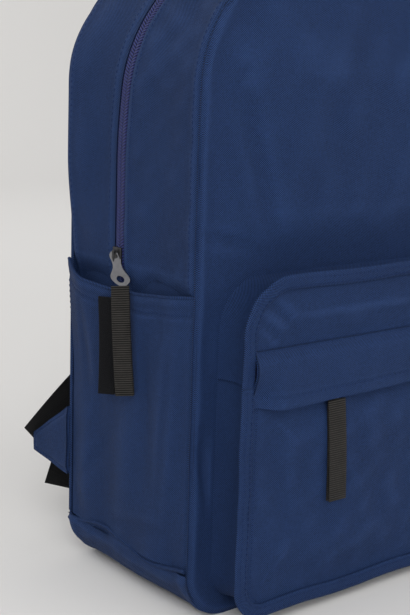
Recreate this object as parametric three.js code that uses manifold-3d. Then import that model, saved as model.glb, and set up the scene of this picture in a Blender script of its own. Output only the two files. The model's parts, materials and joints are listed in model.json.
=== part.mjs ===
// School backpack: a zipped main compartment with a lid that folds forward, a front pocket with a
// storm flap over its zip, two side slip pockets, a padded back with two shoulder straps, ladder
// locks and a haul handle.
// Millimetres. +Z is up, the front faces -Y, the back panel faces +Y, and the origin is the middle
// of the base, on the surface that the bag stands on.
import * as THREE from 'three';
import { mergeVertices } from 'three/addons/utils/BufferGeometryUtils.js';
import Module from 'manifold-3d';

const wasm = await Module();
wasm.setup();

// ---- Driving dimensions ----
const HALF_WIDTH = 147; // half the body's width, at the side panels' outer faces
const HEIGHT = 440; // top of the gusset
const FRONT = -69; // outer face of the front panel
const BACK = 75; // outer face of the back panel
const TOP_RADIUS = 92; // corner radius of the body's outline at the top
const BASE_RADIUS = 34; // and at the base
const CLOTH = 1.6; // cloth with its coating and lining
const GAP = 0.3; // clearance between neighbours

const BASE_SEAM = 34; // height of the seam between the base panel and the side panels
const SIDE_TOP = 226; // top of the side panels, where the zip starts
const LID_HINGE = 300; // height where the front panel folds when the bag is open
const ZIP_Y = 16; // the main zip's centre line on the gusset
const ZIP_OPENING = 6; // from the centre line to the folded cloth edge
const ZIP_TEETH_GAP = 1.2; // from the centre line to the bare coil
const ZIP_TAPE = 1.4; // thickness of tape and coil
const ZIP_INSET = 0.8; // how deep the tape lies below the cloth

const SIDE_INSET = 5; // how far the side panels lie inside the gusset, behind the slip pockets
const SLIP_BULGE = 2.5; // how far a slip pocket's middle stands out past its side seams
const SLIP_TOP = 224; // height of a slip pocket's mouth at its side seams
const SLIP_SAG = 12; // how much lower the mouth is in the middle

const POCKET_HALF = 127; // half the front pocket's width
const POCKET_LOW = 12;
const POCKET_HIGH = 232;
const POCKET_TOP_RADIUS = 34;
const POCKET_BASE_RADIUS = 20;
const POCKET_FACE = -99; // outer face of the front pocket
const FLAP_STITCH = 190; // where the storm flap is sewn down
const FLAP_EDGE = 153; // the flap's free edge
const FLAP_HALF = 119;
const FLAP_FRONT = POCKET_FACE - 8;
const POCKET_ZIP_Z = 171;
const POCKET_SLIDER_X = -52;

const STRAP_TOP = [50, 100, 361]; // where the left and right pads leave their stubs (mirrored in X)
const STRAP_FOOT = [149, 124, 77]; // where the strap webbing meets the corner tab
const PAD_FOOT = [78, 120, 120]; // the pad hangs from its top towards this point, behind the body
const WEBBING_TOP = [76, 120.5, 141]; // where the strap webbing comes out from behind the lock
const PAD_WIDTH = 58;
const PAD_THICKNESS = 9;
const WEBBING_WIDTH = 25;
const WEBBING = 1.5;
const LOCK_Z = -186; // top of a ladder lock, along the strap
const LOCK_Y = 13; // and how far it stands off the line from the pad's top to its foot
const TAIL_LENGTH = 121;

const MAIN_SLIDER_Z = 236;
const PULLER_LENGTH = 23;
const PULLER_THICKNESS = 1.2;
const PULLER_LEAN = 7; // degrees that the main puller leans out over the slip pocket's hem
const PULLER_TURN = 5; // degrees that it swings forward from the zip's line
const PULLER_PIVOT = 3.2; // from the tape's outer face to the middle of the puller's bar

const ARC_STEPS = 10;
const QUARTER = Math.PI / 2;

// ---- Materials ----
function cloth(color) {
  return new THREE.MeshStandardMaterial({ color, roughness: 0.75, metalness: 0 });
}
const navy = () => cloth(0x2b3c70);
const black = () => cloth(0x15161a);
const foam = () => cloth(0x3a3d45);
const coil = () => new THREE.MeshStandardMaterial({ color: 0x1a2140, roughness: 0.5, metalness: 0 });
const metal = () => new THREE.MeshStandardMaterial({ color: 0x8b8d92, roughness: 0.35, metalness: 1 });
const plastic = () => new THREE.MeshStandardMaterial({ color: 0x121315, roughness: 0.45, metalness: 0 });

// ---- Helpers ----
const bag = new THREE.Group();

// A flat shape, made thick along its own +Z.
function slab(name, shape, depth, material) {
  const geometry = new THREE.ExtrudeGeometry(shape, { depth, bevelEnabled: false, curveSegments: ARC_STEPS });
  const mesh = new THREE.Mesh(geometry, material);
  mesh.name = name;
  return mesh;
}

// Shape drawn in X and Z, seen from the front: its thickness runs from yBack towards the front.
function faceFront(mesh, yBack) {
  mesh.rotation.x = QUARTER;
  mesh.position.y = yBack;
  return mesh;
}

// Shape drawn in Y and Z, seen from the side: its thickness runs from xLow towards +X.
function faceSide(mesh, xLow) {
  mesh.rotation.set(QUARTER, 0, QUARTER, 'ZYX');
  mesh.position.x = xLow;
  return mesh;
}

function corner(shape, x, z, radius, start, end, clockwise = false) {
  if (radius > 0) {
    shape.absarc(x, z, radius, start, end, clockwise);
  } else {
    shape.lineTo(x, z);
  }
}

// A rectangle with its own corner radius at the bottom and at the top.
function outline(half, low, high, lowRadius, highRadius) {
  const shape = new THREE.Shape();
  shape.moveTo(-half + lowRadius, low);
  corner(shape, half - lowRadius, low + lowRadius, lowRadius, -QUARTER, 0);
  corner(shape, half - highRadius, high - highRadius, highRadius, 0, QUARTER);
  corner(shape, -half + highRadius, high - highRadius, highRadius, QUARTER, 2 * QUARTER);
  corner(shape, -half + lowRadius, low + lowRadius, lowRadius, 2 * QUARTER, 3 * QUARTER);
  return shape;
}

// A strip that goes up one side of the body, over its top and down the other side.
function archBand(inset, thickness, low) {
  const half = HALF_WIDTH - inset;
  const radius = TOP_RADIUS - inset;
  const centreX = half - radius;
  const centreZ = HEIGHT - TOP_RADIUS;
  const inner = radius - thickness;
  const shape = new THREE.Shape();
  shape.moveTo(half, low);
  shape.lineTo(half, centreZ);
  shape.absarc(centreX, centreZ, radius, 0, QUARTER, false);
  shape.absarc(-centreX, centreZ, radius, QUARTER, 2 * QUARTER, false);
  shape.lineTo(-half, low);
  shape.lineTo(-half + thickness, low);
  shape.absarc(-centreX, centreZ, inner, 2 * QUARTER, QUARTER, true);
  shape.absarc(centreX, centreZ, inner, QUARTER, 0, true);
  shape.lineTo(half - thickness, low);
  return shape;
}

// A strip that goes down one side, under the base and up the other side.
function troughBand(thickness, high) {
  const centreX = HALF_WIDTH - BASE_RADIUS;
  const inner = BASE_RADIUS - thickness;
  const shape = new THREE.Shape();
  shape.moveTo(-HALF_WIDTH + thickness, high);
  shape.lineTo(-HALF_WIDTH, high);
  shape.absarc(-centreX, BASE_RADIUS, BASE_RADIUS, 2 * QUARTER, 3 * QUARTER, false);
  shape.absarc(centreX, BASE_RADIUS, BASE_RADIUS, 3 * QUARTER, 4 * QUARTER, false);
  shape.lineTo(HALF_WIDTH, high);
  shape.lineTo(HALF_WIDTH - thickness, high);
  shape.absarc(centreX, BASE_RADIUS, inner, 0, -QUARTER, true);
  shape.absarc(-centreX, BASE_RADIUS, inner, 3 * QUARTER, 2 * QUARTER, true);
  return shape;
}

// A strip of even thickness along a smooth curve through a few points.
function ribbon(points, thickness, steps) {
  const curve = new THREE.SplineCurve(points.map(([u, v]) => new THREE.Vector2(u, v)));
  const middle = curve.getSpacedPoints(steps);
  const edge = (side) => middle.map((point, index) => {
    const along = curve.getTangentAt(index / steps);
    return new THREE.Vector2(point.x - along.y * side, point.y + along.x * side);
  });
  return new THREE.Shape([...edge(-thickness / 2), ...edge(thickness / 2).reverse()]);
}

function box(lowX, highX, lowY, highY, lowZ, highZ) {
  const shape = new THREE.BoxGeometry(highX - lowX, highY - lowY, highZ - lowZ);
  shape.translate((lowX + highX) / 2, (lowY + highY) / 2, (lowZ + highZ) / 2);
  return shape;
}

function toSolid(geometry) {
  const bare = geometry.clone();
  bare.deleteAttribute('normal');
  bare.deleteAttribute('uv');
  const merged = mergeVertices(bare, 1e-4);
  const vertProperties = Float32Array.from(merged.attributes.position.array);
  const triVerts = Uint32Array.from(merged.index.array);
  return new wasm.Manifold(new wasm.Mesh({ numProp: 3, vertProperties, triVerts }));
}

function fromSolid(name, solid, material) {
  const { vertProperties, triVerts } = solid.getMesh();
  const geometry = new THREE.BufferGeometry();
  geometry.setAttribute('position', new THREE.BufferAttribute(vertProperties, 3));
  geometry.setIndex(new THREE.BufferAttribute(triVerts, 1));
  geometry.computeVertexNormals();
  const mesh = new THREE.Mesh(geometry, material);
  mesh.name = name;
  return mesh;
}

const join = (...geometries) => geometries.map(toSolid).reduce((whole, piece) => whole.add(piece));

// ---- Body shell ----
function addBody() {
  const whole = outline(HALF_WIDTH, 0, HEIGHT, BASE_RADIUS, TOP_RADIUS);
  bag.add(faceFront(slab('back_panel', whole, CLOTH + 0.4, navy()), BACK));
  const foamInset = 8;
  const foamSheet = outline(HALF_WIDTH - foamInset, foamInset, HEIGHT - foamInset, BASE_RADIUS, TOP_RADIUS);
  bag.add(faceFront(slab('back_foam_sheet', foamSheet, 5, foam()), BACK - 2.3));

  const lower = outline(HALF_WIDTH, 0, LID_HINGE - GAP / 2, BASE_RADIUS, 0);
  bag.add(faceFront(slab('front_panel', lower, CLOTH, navy()), FRONT + CLOTH));

  const gussetBack = BACK - 2 - GAP;
  const gussetDepth = gussetBack - (FRONT + CLOTH + GAP);
  bag.add(faceFront(slab('base_panel', troughBand(CLOTH, BASE_SEAM), gussetDepth, navy()), gussetBack));
  const boardHalf = HALF_WIDTH - BASE_RADIUS;
  const board = outline(boardHalf, CLOTH + GAP, CLOTH + 3, 0, 0);
  bag.add(faceFront(slab('base_board', board, gussetDepth - 12, plastic()), gussetBack - 8));

  for (const [side, sign] of [['left', -1], ['right', 1]]) {
    const lowX = sign < 0 ? -HALF_WIDTH : HALF_WIDTH - CLOTH;
    const panelX = lowX - sign * SIDE_INSET;
    const panel = new THREE.Mesh(
      box(panelX, panelX + CLOTH, gussetBack - gussetDepth, gussetBack, BASE_SEAM + GAP, SIDE_TOP), navy());
    panel.name = `side_panel_${side}`;
    bag.add(panel);
    const strip = new THREE.Mesh(
      box(lowX, lowX + CLOTH, gussetBack - gussetDepth, ZIP_Y - ZIP_OPENING, SIDE_TOP + GAP,
        LID_HINGE - GAP / 2), navy());
    strip.name = `front_strip_${side}`;
    bag.add(strip);
  }
  const rearDepth = gussetBack - (ZIP_Y + ZIP_OPENING);
  const rear = slab('rear_gusset', archBand(0, CLOTH, SIDE_TOP + GAP), rearDepth, navy());
  bag.add(faceFront(rear, gussetBack));
}

// The rear half of the main zip runs all the way round. Its front half is in three pieces: one each
// side below the lid's fold, and one on the lid.
function addMainZip() {
  const half = ZIP_OPENING - ZIP_TEETH_GAP - GAP;
  const rear = slab('main_zip_rear_half', archBand(ZIP_INSET, ZIP_TAPE, SIDE_TOP + GAP), half, coil());
  bag.add(faceFront(rear, ZIP_Y + ZIP_TEETH_GAP + half));
  for (const [side, sign] of [['left', -1], ['right', 1]]) {
    const outer = sign * (HALF_WIDTH - ZIP_INSET);
    const inner = outer - sign * ZIP_TAPE;
    const piece = new THREE.Mesh(
      box(Math.min(outer, inner), Math.max(outer, inner), ZIP_Y - ZIP_TEETH_GAP - half,
        ZIP_Y - ZIP_TEETH_GAP, SIDE_TOP + GAP, LID_HINGE - GAP / 2), coil());
    piece.name = `main_zip_front_${side}`;
    bag.add(piece);
  }
}

function addLid() {
  const lidFront = new THREE.Shape();
  const centreZ = HEIGHT - TOP_RADIUS;
  lidFront.moveTo(-HALF_WIDTH, LID_HINGE + GAP / 2);
  lidFront.lineTo(HALF_WIDTH, LID_HINGE + GAP / 2);
  corner(lidFront, HALF_WIDTH - TOP_RADIUS, centreZ, TOP_RADIUS, 0, QUARTER);
  corner(lidFront, -HALF_WIDTH + TOP_RADIUS, centreZ, TOP_RADIUS, QUARTER, 2 * QUARTER);
  bag.add(faceFront(slab('lid_panel', lidFront, CLOTH, navy()), FRONT + CLOTH));
  const stripBack = ZIP_Y - ZIP_OPENING;
  const depth = stripBack - (FRONT + CLOTH + GAP);
  const strip = slab('lid_gusset', archBand(0, CLOTH, LID_HINGE + GAP / 2), depth, navy());
  bag.add(faceFront(strip, stripBack));
  const half = ZIP_OPENING - ZIP_TEETH_GAP - GAP;
  const zip = slab('lid_zip_half', archBand(ZIP_INSET, ZIP_TAPE, LID_HINGE + GAP / 2), half, coil());
  bag.add(faceFront(zip, ZIP_Y - ZIP_TEETH_GAP));
}

// ---- Inside ----
function addLaptopSleeve() {
  const half = 125;
  const sleeveFront = 38;
  const sleeveBack = BACK - 2.3 - 5 - GAP;
  const shape = new THREE.Shape();
  shape.moveTo(-half, sleeveBack);
  shape.lineTo(-half, sleeveFront);
  shape.lineTo(half, sleeveFront);
  shape.lineTo(half, sleeveBack);
  shape.lineTo(half - CLOTH, sleeveBack);
  shape.lineTo(half - CLOTH, sleeveFront + CLOTH);
  shape.lineTo(-half + CLOTH, sleeveFront + CLOTH);
  shape.lineTo(-half + CLOTH, sleeveBack);
  const low = 40;
  const high = 272;
  const sleeve = slab('laptop_sleeve', shape, high - low, foam());
  sleeve.position.z = low;
  bag.add(sleeve);
  const binding = new THREE.Mesh(box(-half, half, sleeveFront - 1, sleeveFront + CLOTH + 1, high + GAP, high + 6),
    black());
  binding.name = 'sleeve_binding';
  bag.add(binding);
}

// ---- Side slip pockets ----
// A bowed panel sewn at both sides and along its bottom, open at the top.
function slipPocket(side, sign) {
  const front = FRONT + CLOTH + GAP;
  const back = BACK - 2 - GAP;
  const middle = (front + back) / 2;
  const half = (back - front) / 2 - 0.5;
  const seamX = HALF_WIDTH - CLOTH / 2;
  const bow = [[seamX, middle - half], [seamX + SLIP_BULGE * 0.8, middle - half * 0.55],
    [seamX + SLIP_BULGE, middle], [seamX + SLIP_BULGE * 0.8, middle + half * 0.55], [seamX, middle + half]];
  const wall = new THREE.ExtrudeGeometry(ribbon(bow.map(([x, y]) => [sign * x, y]), CLOTH, 16),
    { depth: SLIP_TOP - BASE_SEAM - GAP, bevelEnabled: false });
  wall.translate(0, 0, BASE_SEAM + GAP);
  const floorInner = HALF_WIDTH - SIDE_INSET + GAP;
  const floorEnds = [sign * floorInner, sign * (seamX + 0.2)];
  const floor = box(Math.min(...floorEnds), Math.max(...floorEnds), middle - half, middle + half,
    BASE_SEAM + GAP, BASE_SEAM + 2);
  // The mouth sags between the seams: a long shallow arc is cut out of the top.
  const cut = new THREE.Shape();
  cut.moveTo(middle - half - 2, SLIP_TOP);
  cut.quadraticCurveTo(middle, SLIP_TOP - 2 * SLIP_SAG, middle + half + 2, SLIP_TOP);
  cut.lineTo(middle + half + 2, SLIP_TOP + 5);
  cut.lineTo(middle - half - 2, SLIP_TOP + 5);
  const cutDepth = 20;
  const sagCut = new THREE.ExtrudeGeometry(cut, { depth: cutDepth, bevelEnabled: false, curveSegments: ARC_STEPS });
  sagCut.applyMatrix4(new THREE.Matrix4().makeBasis(
    new THREE.Vector3(0, 1, 0), new THREE.Vector3(0, 0, 1), new THREE.Vector3(1, 0, 0)));
  sagCut.translate(sign * HALF_WIDTH - cutDepth / 2, 0, 0);
  const solid = join(wall, floor).subtract(toSolid(sagCut));
  bag.add(fromSolid(`side_pocket_${side}`, solid, navy()));
}

// ---- Front pocket ----
function addFrontPocket() {
  const ring = outline(POCKET_HALF, POCKET_LOW, POCKET_HIGH, POCKET_BASE_RADIUS, POCKET_TOP_RADIUS);
  ring.holes.push(outline(POCKET_HALF - CLOTH, POCKET_LOW + CLOTH, POCKET_HIGH - CLOTH,
    POCKET_BASE_RADIUS - CLOTH, POCKET_TOP_RADIUS - CLOTH));
  const faceBack = POCKET_FACE + CLOTH;
  const ringBack = FRONT - GAP;
  bag.add(faceFront(slab('pocket_gusset', ring, ringBack - faceBack - GAP, navy()), ringBack));

  const top = new THREE.Shape();
  const turn = POCKET_HALF - POCKET_TOP_RADIUS;
  top.moveTo(-POCKET_HALF, FLAP_STITCH);
  top.lineTo(POCKET_HALF, FLAP_STITCH);
  corner(top, turn, POCKET_HIGH - POCKET_TOP_RADIUS, POCKET_TOP_RADIUS, 0, QUARTER);
  corner(top, -turn, POCKET_HIGH - POCKET_TOP_RADIUS, POCKET_TOP_RADIUS, QUARTER, 2 * QUARTER);
  bag.add(faceFront(slab('pocket_top_panel', top, CLOTH, navy()), faceBack));

  const tape = (name, low, high) => {
    const mesh = new THREE.Mesh(box(-POCKET_HALF, POCKET_HALF, POCKET_FACE + 0.2, faceBack, low, high), coil());
    mesh.name = name;
    bag.add(mesh);
  };
  tape('pocket_zip_upper', POCKET_ZIP_Z + ZIP_TEETH_GAP, FLAP_STITCH - GAP);
  tape('pocket_zip_lower', POCKET_ZIP_Z - 6, POCKET_ZIP_Z - ZIP_TEETH_GAP);
  const face = outline(POCKET_HALF, POCKET_LOW, POCKET_ZIP_Z - 6 - GAP, POCKET_BASE_RADIUS, 0);
  bag.add(faceFront(slab('pocket_face', face, CLOTH, navy()), faceBack));

  // The storm flap leaves the stitch line, steps over the zip and hangs in front of it.
  const drop = ribbon([[POCKET_FACE - 1.2, FLAP_STITCH], [POCKET_FACE - 3, FLAP_STITCH - 3.5],
    [FLAP_FRONT + 1, FLAP_STITCH - 10], [FLAP_FRONT + 0.8, (FLAP_STITCH + FLAP_EDGE) / 2],
    [FLAP_FRONT + 0.8, FLAP_EDGE]], CLOTH, 14);
  bag.add(faceSide(slab('pocket_flap', drop, 2 * FLAP_HALF, navy()), -FLAP_HALF));
}

// ---- Zip sliders, pullers and pulls ----
// A slider lies across its zip: an outer plate with a bridge for the puller, a post between the two
// rows of coil and a plate behind the tape. It is drawn with its own +Z along the zip, +Y across the
// zip and -X outwards, and its origin on the tape's outer face. On the front pocket the plate behind
// the tape covers one side only, and the bridge is turned, because that puller hangs across its zip.
function slider(name, behindFrom, bridgeTurned) {
  const halfWidth = 4.4;
  const plate = box(-2.1, -0.4, -halfWidth, halfWidth, -6, 6);
  const post = box(-0.5, ZIP_TAPE + 0.5, -0.9, 0.9, 1, 5);
  const behind = box(ZIP_TAPE + 0.4, ZIP_TAPE + 1.4, behindFrom, halfWidth, -5, 5.4);
  const bridge = [box(-5.2, -2, -1.1, 1.1, -4.3, -2.9), box(-5.2, -2, -1.1, 1.1, 2.9, 4.3),
    box(-5.2, -4.3, -1.1, 1.1, -4.3, 4.3)];
  if (bridgeTurned) {
    bridge.forEach((piece) => piece.rotateX(QUARTER));
  }
  return fromSolid(name, join(plate, post, behind, ...bridge), metal());
}

// A pressed puller plate: a slot over the bridge at its top and a round hole for the webbing.
function puller(name) {
  const half = 4.6;
  const bar = 0.6;
  const slotHalf = 2.8;
  const slotEnd = -9;
  const shape = new THREE.Shape();
  shape.moveTo(-half + 1.2, bar);
  shape.lineTo(half - 1.2, bar);
  shape.lineTo(half, -2);
  shape.absarc(0, -PULLER_LENGTH + half, half, 0, -2 * QUARTER, true);
  shape.lineTo(-half, -2);
  const slot = new THREE.Path();
  slot.moveTo(slotHalf, -bar);
  slot.lineTo(-slotHalf, -bar);
  slot.absarc(0, slotEnd, slotHalf, 2 * QUARTER, 4 * QUARTER, false);
  const hole = new THREE.Path();
  hole.absarc(0, -PULLER_LENGTH + half + 0.4, 2.5, 0, 4 * QUARTER, false);
  shape.holes.push(slot, hole);
  return slab(name, shape, PULLER_THICKNESS, metal());
}

function addMainPull() {
  const tapeFace = -HALF_WIDTH + ZIP_INSET;
  const main = slider('main_slider', -4.4, false);
  main.position.set(tapeFace, ZIP_Y, MAIN_SLIDER_Z);
  bag.add(main);
  // The puller leans out a little over the slip pocket's hem, and forward where its webbing lies.
  const hang = new THREE.Group();
  hang.position.set(tapeFace - PULLER_PIVOT, ZIP_Y, MAIN_SLIDER_Z);
  hang.rotation.order = 'YXZ';
  hang.rotation.y = THREE.MathUtils.degToRad(PULLER_LEAN);
  hang.rotation.x = THREE.MathUtils.degToRad(-PULLER_TURN);
  hang.add(faceSide(puller('main_puller'), -PULLER_THICKNESS / 2));
  bag.add(hang);
  const leaf = (name, width, thickness, length, stand, y, tilt) => {
    const mesh = new THREE.Mesh(box(-thickness, 0, -width / 2, width / 2, -length, 0), black());
    mesh.name = name;
    mesh.position.set(-HALF_WIDTH - SLIP_BULGE - stand, y, MAIN_SLIDER_Z - PULLER_LENGTH + 0.6);
    mesh.rotation.x = THREE.MathUtils.degToRad(tilt);
    bag.add(mesh);
  };
  leaf('main_pull_webbing', 12, 1.8, 76, 3.6, ZIP_Y - 9, -5);
  leaf('main_pull_label', 14, 1.4, 74, 5.8, ZIP_Y - 5, 5);
}

function addPocketPull() {
  const tapeFace = POCKET_FACE + 0.2;
  const body = slider('pocket_slider', -0.9, true);
  const forward = new THREE.Vector3(0, 1, 0);
  const across = new THREE.Vector3(0, 0, -1);
  const along = new THREE.Vector3(-1, 0, 0);
  body.quaternion.setFromRotationMatrix(new THREE.Matrix4().makeBasis(forward, across, along));
  body.position.set(POCKET_SLIDER_X, tapeFace, POCKET_ZIP_Z);
  bag.add(body);
  const plate = faceFront(puller('pocket_puller'), tapeFace - PULLER_PIVOT + PULLER_THICKNESS / 2);
  plate.position.x = POCKET_SLIDER_X;
  plate.position.z = POCKET_ZIP_Z;
  bag.add(plate);
  const top = POCKET_ZIP_Z - PULLER_LENGTH - 0.5;
  const webbing = new THREE.Mesh(box(-6, 6, tapeFace - 4, tapeFace - 2.2, top - 68, top), black());
  webbing.name = 'pocket_pull_webbing';
  webbing.position.x = POCKET_SLIDER_X;
  bag.add(webbing);
}

// ---- Haul handle ----
function addHandle() {
  const half = 11;
  const middle = 58;
  for (const [side, sign] of [['left', -1], ['right', 1]]) {
    const lowX = sign < 0 ? -46 : 26;
    const foot = new THREE.Mesh(
      box(lowX, lowX + 20, middle - half, middle + half, HEIGHT + GAP, HEIGHT + 1.9), black());
    foot.name = `handle_foot_${side}`;
    bag.add(foot);
  }
  const arch = ribbon([[-30, HEIGHT + 9], [-22, HEIGHT + 22], [0, HEIGHT + 29], [22, HEIGHT + 22],
    [30, HEIGHT + 9]], 3, 24);
  bag.add(faceFront(slab('haul_handle', arch, 2 * half, black()), middle + half));
}

// ---- Shoulder straps ----
// A strap's own frame has its origin where the pad leaves the stub and its own -Z towards the corner
// tab, so that the strap swings about its own Z axis.
function strapFrame(sign, from, to) {
  const top = new THREE.Vector3(sign * from[0], from[1], from[2]);
  const foot = new THREE.Vector3(sign * to[0], to[1], to[2]);
  const up = top.clone().sub(foot);
  const length = up.length();
  up.normalize();
  const across = new THREE.Vector3(1, 0, 0).addScaledVector(up, -up.x).normalize();
  const outward = up.clone().cross(across);
  const frame = new THREE.Group();
  frame.position.copy(top);
  frame.quaternion.setFromRotationMatrix(new THREE.Matrix4().makeBasis(across, outward, up));
  return { frame, length };
}

// Three slots between four bars: the first holds the pad's loop, the others hold the webbing.
function ladderLock(name) {
  const length = 29;
  const shape = outline(17, -length, 0, 3, 3);
  for (const top of [-3.5, -11, -18.5]) {
    shape.holes.push(outline(13.6, top - 4.5, top, 0, 0));
  }
  return slab(name, shape, 3.5, plastic());
}

function addStrap(side, sign) {
  const { frame } = strapFrame(sign, STRAP_TOP, PAD_FOOT);
  const lower = strapFrame(sign, WEBBING_TOP, STRAP_FOOT);
  const along = (name, points, thickness, width, steps, material, parent = frame) => {
    parent.add(faceSide(slab(name, ribbon(points, thickness, steps), width, material), -width / 2));
  };
  along(`strap_pad_${side}`, [[3, -12], [10, -34], [17, -90], [17, -140], [LOCK_Y + 1, LOCK_Z + 6]],
    PAD_THICKNESS, PAD_WIDTH, 20, navy());
  along(`lock_loop_${side}`, [[LOCK_Y, LOCK_Z + 5.4], [LOCK_Y, LOCK_Z + 3], [LOCK_Y, LOCK_Z + 0.8]],
    2.4, WEBBING_WIDTH, 3, black());
  const lock = faceFront(ladderLock(`ladder_lock_${side}`), LOCK_Y + 1.75);
  lock.position.z = LOCK_Z;
  frame.add(lock);
  // Up behind the lock, over the third bar from the top and back down under the lowest one.
  const turn = [[-5, -40], [-5, -26], [-4.6, -15], [-2.5, -13], [1, -13], [3.2, -15], [3.4, -17],
    [3.2, -19.5], [1, -21], [-1.5, -21.2], [-2.9, -23], [-3.1, -30], [-2.6, -36]];
  along(`lock_webbing_${side}`, turn.map(([y, z]) => [LOCK_Y + y, LOCK_Z + z]), WEBBING, WEBBING_WIDTH,
    60, black());
  along(`strap_webbing_${side}`, [[0, 0], [2, -lower.length / 2], [0, -lower.length + 2]], WEBBING,
    WEBBING_WIDTH, 8, black(), lower.frame);
  bag.add(frame, lower.frame);

  // The loose end hangs down in front of the lock's webbing and swings out towards the side.
  const tail = new THREE.Mesh(box(-WEBBING_WIDTH / 2, WEBBING_WIDTH / 2, 0, WEBBING, -TAIL_LENGTH, 0), black());
  tail.name = `strap_tail_${side}`;
  tail.position.set(sign * 76, 130.4, 144);
  tail.rotation.y = THREE.MathUtils.degToRad(-sign * 22);
  bag.add(tail);

  const stub = ribbon([[82.2, 404], [82.6, 390], [88, 374], [98.5, 363.5]], 5, 12);
  bag.add(faceSide(slab(`strap_stub_${side}`, stub, 46, navy()), sign * STRAP_TOP[0] - 23));

  const tab = new THREE.Shape();
  tab.moveTo(BACK + GAP, 64);
  tab.lineTo(STRAP_FOOT[1] - 4, 70);
  tab.lineTo(STRAP_FOOT[1] - 4, 84);
  tab.lineTo(BACK + GAP, 116);
  bag.add(faceSide(slab(`anchor_tab_${side}`, tab, 2.4, navy()), sign * (STRAP_FOOT[0] - 1) - 1.2));
}

function addYoke() {
  const yoke = new THREE.Mesh(box(-82, 82, BACK + GAP, BACK + 4, 376, 412), navy());
  yoke.name = 'strap_yoke';
  bag.add(yoke);
}

addBody();
addMainZip();
addLid();
addLaptopSleeve();
slipPocket('left', -1);
slipPocket('right', 1);
addFrontPocket();
addMainPull();
addPocketPull();
addHandle();
addYoke();
addStrap('left', -1);
addStrap('right', 1);

export default bag;
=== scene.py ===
# %% [markdown]
# A school backpack, dressed in Blender. The imported CAD model is the frame: it says how big the bag
# is, where each piece sits and how it moves. Every visible piece here is a surface worked out with
# numpy around that frame. Most ride on one of its bodies; those meant to bend between two bodies
# are only fixed in place.

import json
import math

import bmesh
import bpy
import numpy as np
from mathutils import Matrix, Vector


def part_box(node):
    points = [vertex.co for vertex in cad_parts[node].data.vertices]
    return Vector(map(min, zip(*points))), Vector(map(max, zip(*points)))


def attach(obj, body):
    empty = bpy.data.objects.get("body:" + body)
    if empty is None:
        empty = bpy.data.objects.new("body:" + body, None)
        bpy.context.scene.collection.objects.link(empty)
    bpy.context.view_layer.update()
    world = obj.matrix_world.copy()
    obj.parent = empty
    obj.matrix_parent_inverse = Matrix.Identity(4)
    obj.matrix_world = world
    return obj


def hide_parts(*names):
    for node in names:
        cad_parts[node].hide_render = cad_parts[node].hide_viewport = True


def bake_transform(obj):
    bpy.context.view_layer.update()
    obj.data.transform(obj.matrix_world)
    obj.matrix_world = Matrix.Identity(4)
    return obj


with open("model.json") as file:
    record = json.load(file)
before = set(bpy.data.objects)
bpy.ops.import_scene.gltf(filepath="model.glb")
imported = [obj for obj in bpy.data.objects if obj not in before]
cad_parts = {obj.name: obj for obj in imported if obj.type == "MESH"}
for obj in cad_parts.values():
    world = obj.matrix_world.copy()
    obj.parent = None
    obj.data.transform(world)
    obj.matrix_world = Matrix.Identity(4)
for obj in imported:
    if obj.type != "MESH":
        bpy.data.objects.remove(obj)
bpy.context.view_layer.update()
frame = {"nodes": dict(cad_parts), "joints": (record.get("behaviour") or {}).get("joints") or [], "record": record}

# %% [markdown]
# The bag's sizes come from the frame's own solids, in metres. The front faces -Y, the straps are at
# +Y, and the base stands on z = 0. Two corner radii and the cloth's thickness are the maker's own.

# %% Sizes
MM = 0.001


def low(node):
    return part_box(node)[0]


def high(node):
    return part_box(node)[1]


HALF = high("rear_gusset").x
TOP = high("rear_gusset").z
FRONT = low("front_panel").y
BACK = high("back_panel").y
SEAM_Z = high("base_panel").z
SIDE_INSET = HALF + low("side_panel_left").x
TOP_RADIUS, BASE_RADIUS = 92 * MM, 34 * MM
CLOTH = 1.6 * MM
FACE = low("pocket_face").y
POCKET_HALF = high("pocket_gusset").x
POCKET_LOW, POCKET_HIGH = low("pocket_gusset").z, high("pocket_gusset").z
POCKET_RADII = (20 * MM, 34 * MM)
STITCH_Z = high("pocket_flap").z
FLAP_Z = low("pocket_flap").z
POCKET_ZIP = (low("pocket_zip_upper").z + high("pocket_zip_lower").z) / 2
CENTRE = np.array([0.0, (FRONT + BACK) / 2, TOP / 2])

# %% [markdown]
# A plain pale floor that curves up behind the bag, soft light from the upper left, and a camera low
# down at the bag's front left corner, close to it. A long lens keeps the corner from leaning.

# %% Floor, light and camera
CAMERA_PLACE = (-0.621, -0.6605, 0.3764)
CAMERA_TURN, CAMERA_DIP, CAMERA_ROLL = math.radians(39.18), math.radians(11.94), math.radians(1.81)
CAMERA_LENS = 72.3


def plain_material(name, colour, roughness):
    material = bpy.data.materials.new(name)
    material.use_nodes = True
    shader = material.node_tree.nodes["Principled BSDF"]
    shader.inputs["Base Color"].default_value = (*colour, 1)
    shader.inputs["Roughness"].default_value = roughness
    return material


def studio():
    """A floor strip along Y that turns up into a wall through a quarter circle behind the bag."""
    reach, turn, wall = 2.2, 1.2, 2.6
    bend = np.linspace(0, math.pi / 2, 24)
    ys = np.concatenate([[-3.5], reach + turn * np.sin(bend), [reach + turn]])
    zs = np.concatenate([[0.0], turn * (1 - np.cos(bend)), [turn + wall]])
    xs = np.array([-4.0, 4.0])
    verts = np.array([(x, y, z) for y, z in zip(ys, zs) for x in xs])
    faces = [(2 * i, 2 * i + 1, 2 * i + 3, 2 * i + 2) for i in range(len(ys) - 1)]
    mesh = bpy.data.meshes.new("studio_floor")
    mesh.from_pydata(verts.tolist(), [], faces)
    mesh.shade_smooth()
    mesh.materials.append(plain_material("floor_paper", (0.69, 0.685, 0.68), 0.9))
    floor = bpy.data.objects.new("studio_floor", mesh)
    bpy.context.scene.collection.objects.link(floor)


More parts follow.
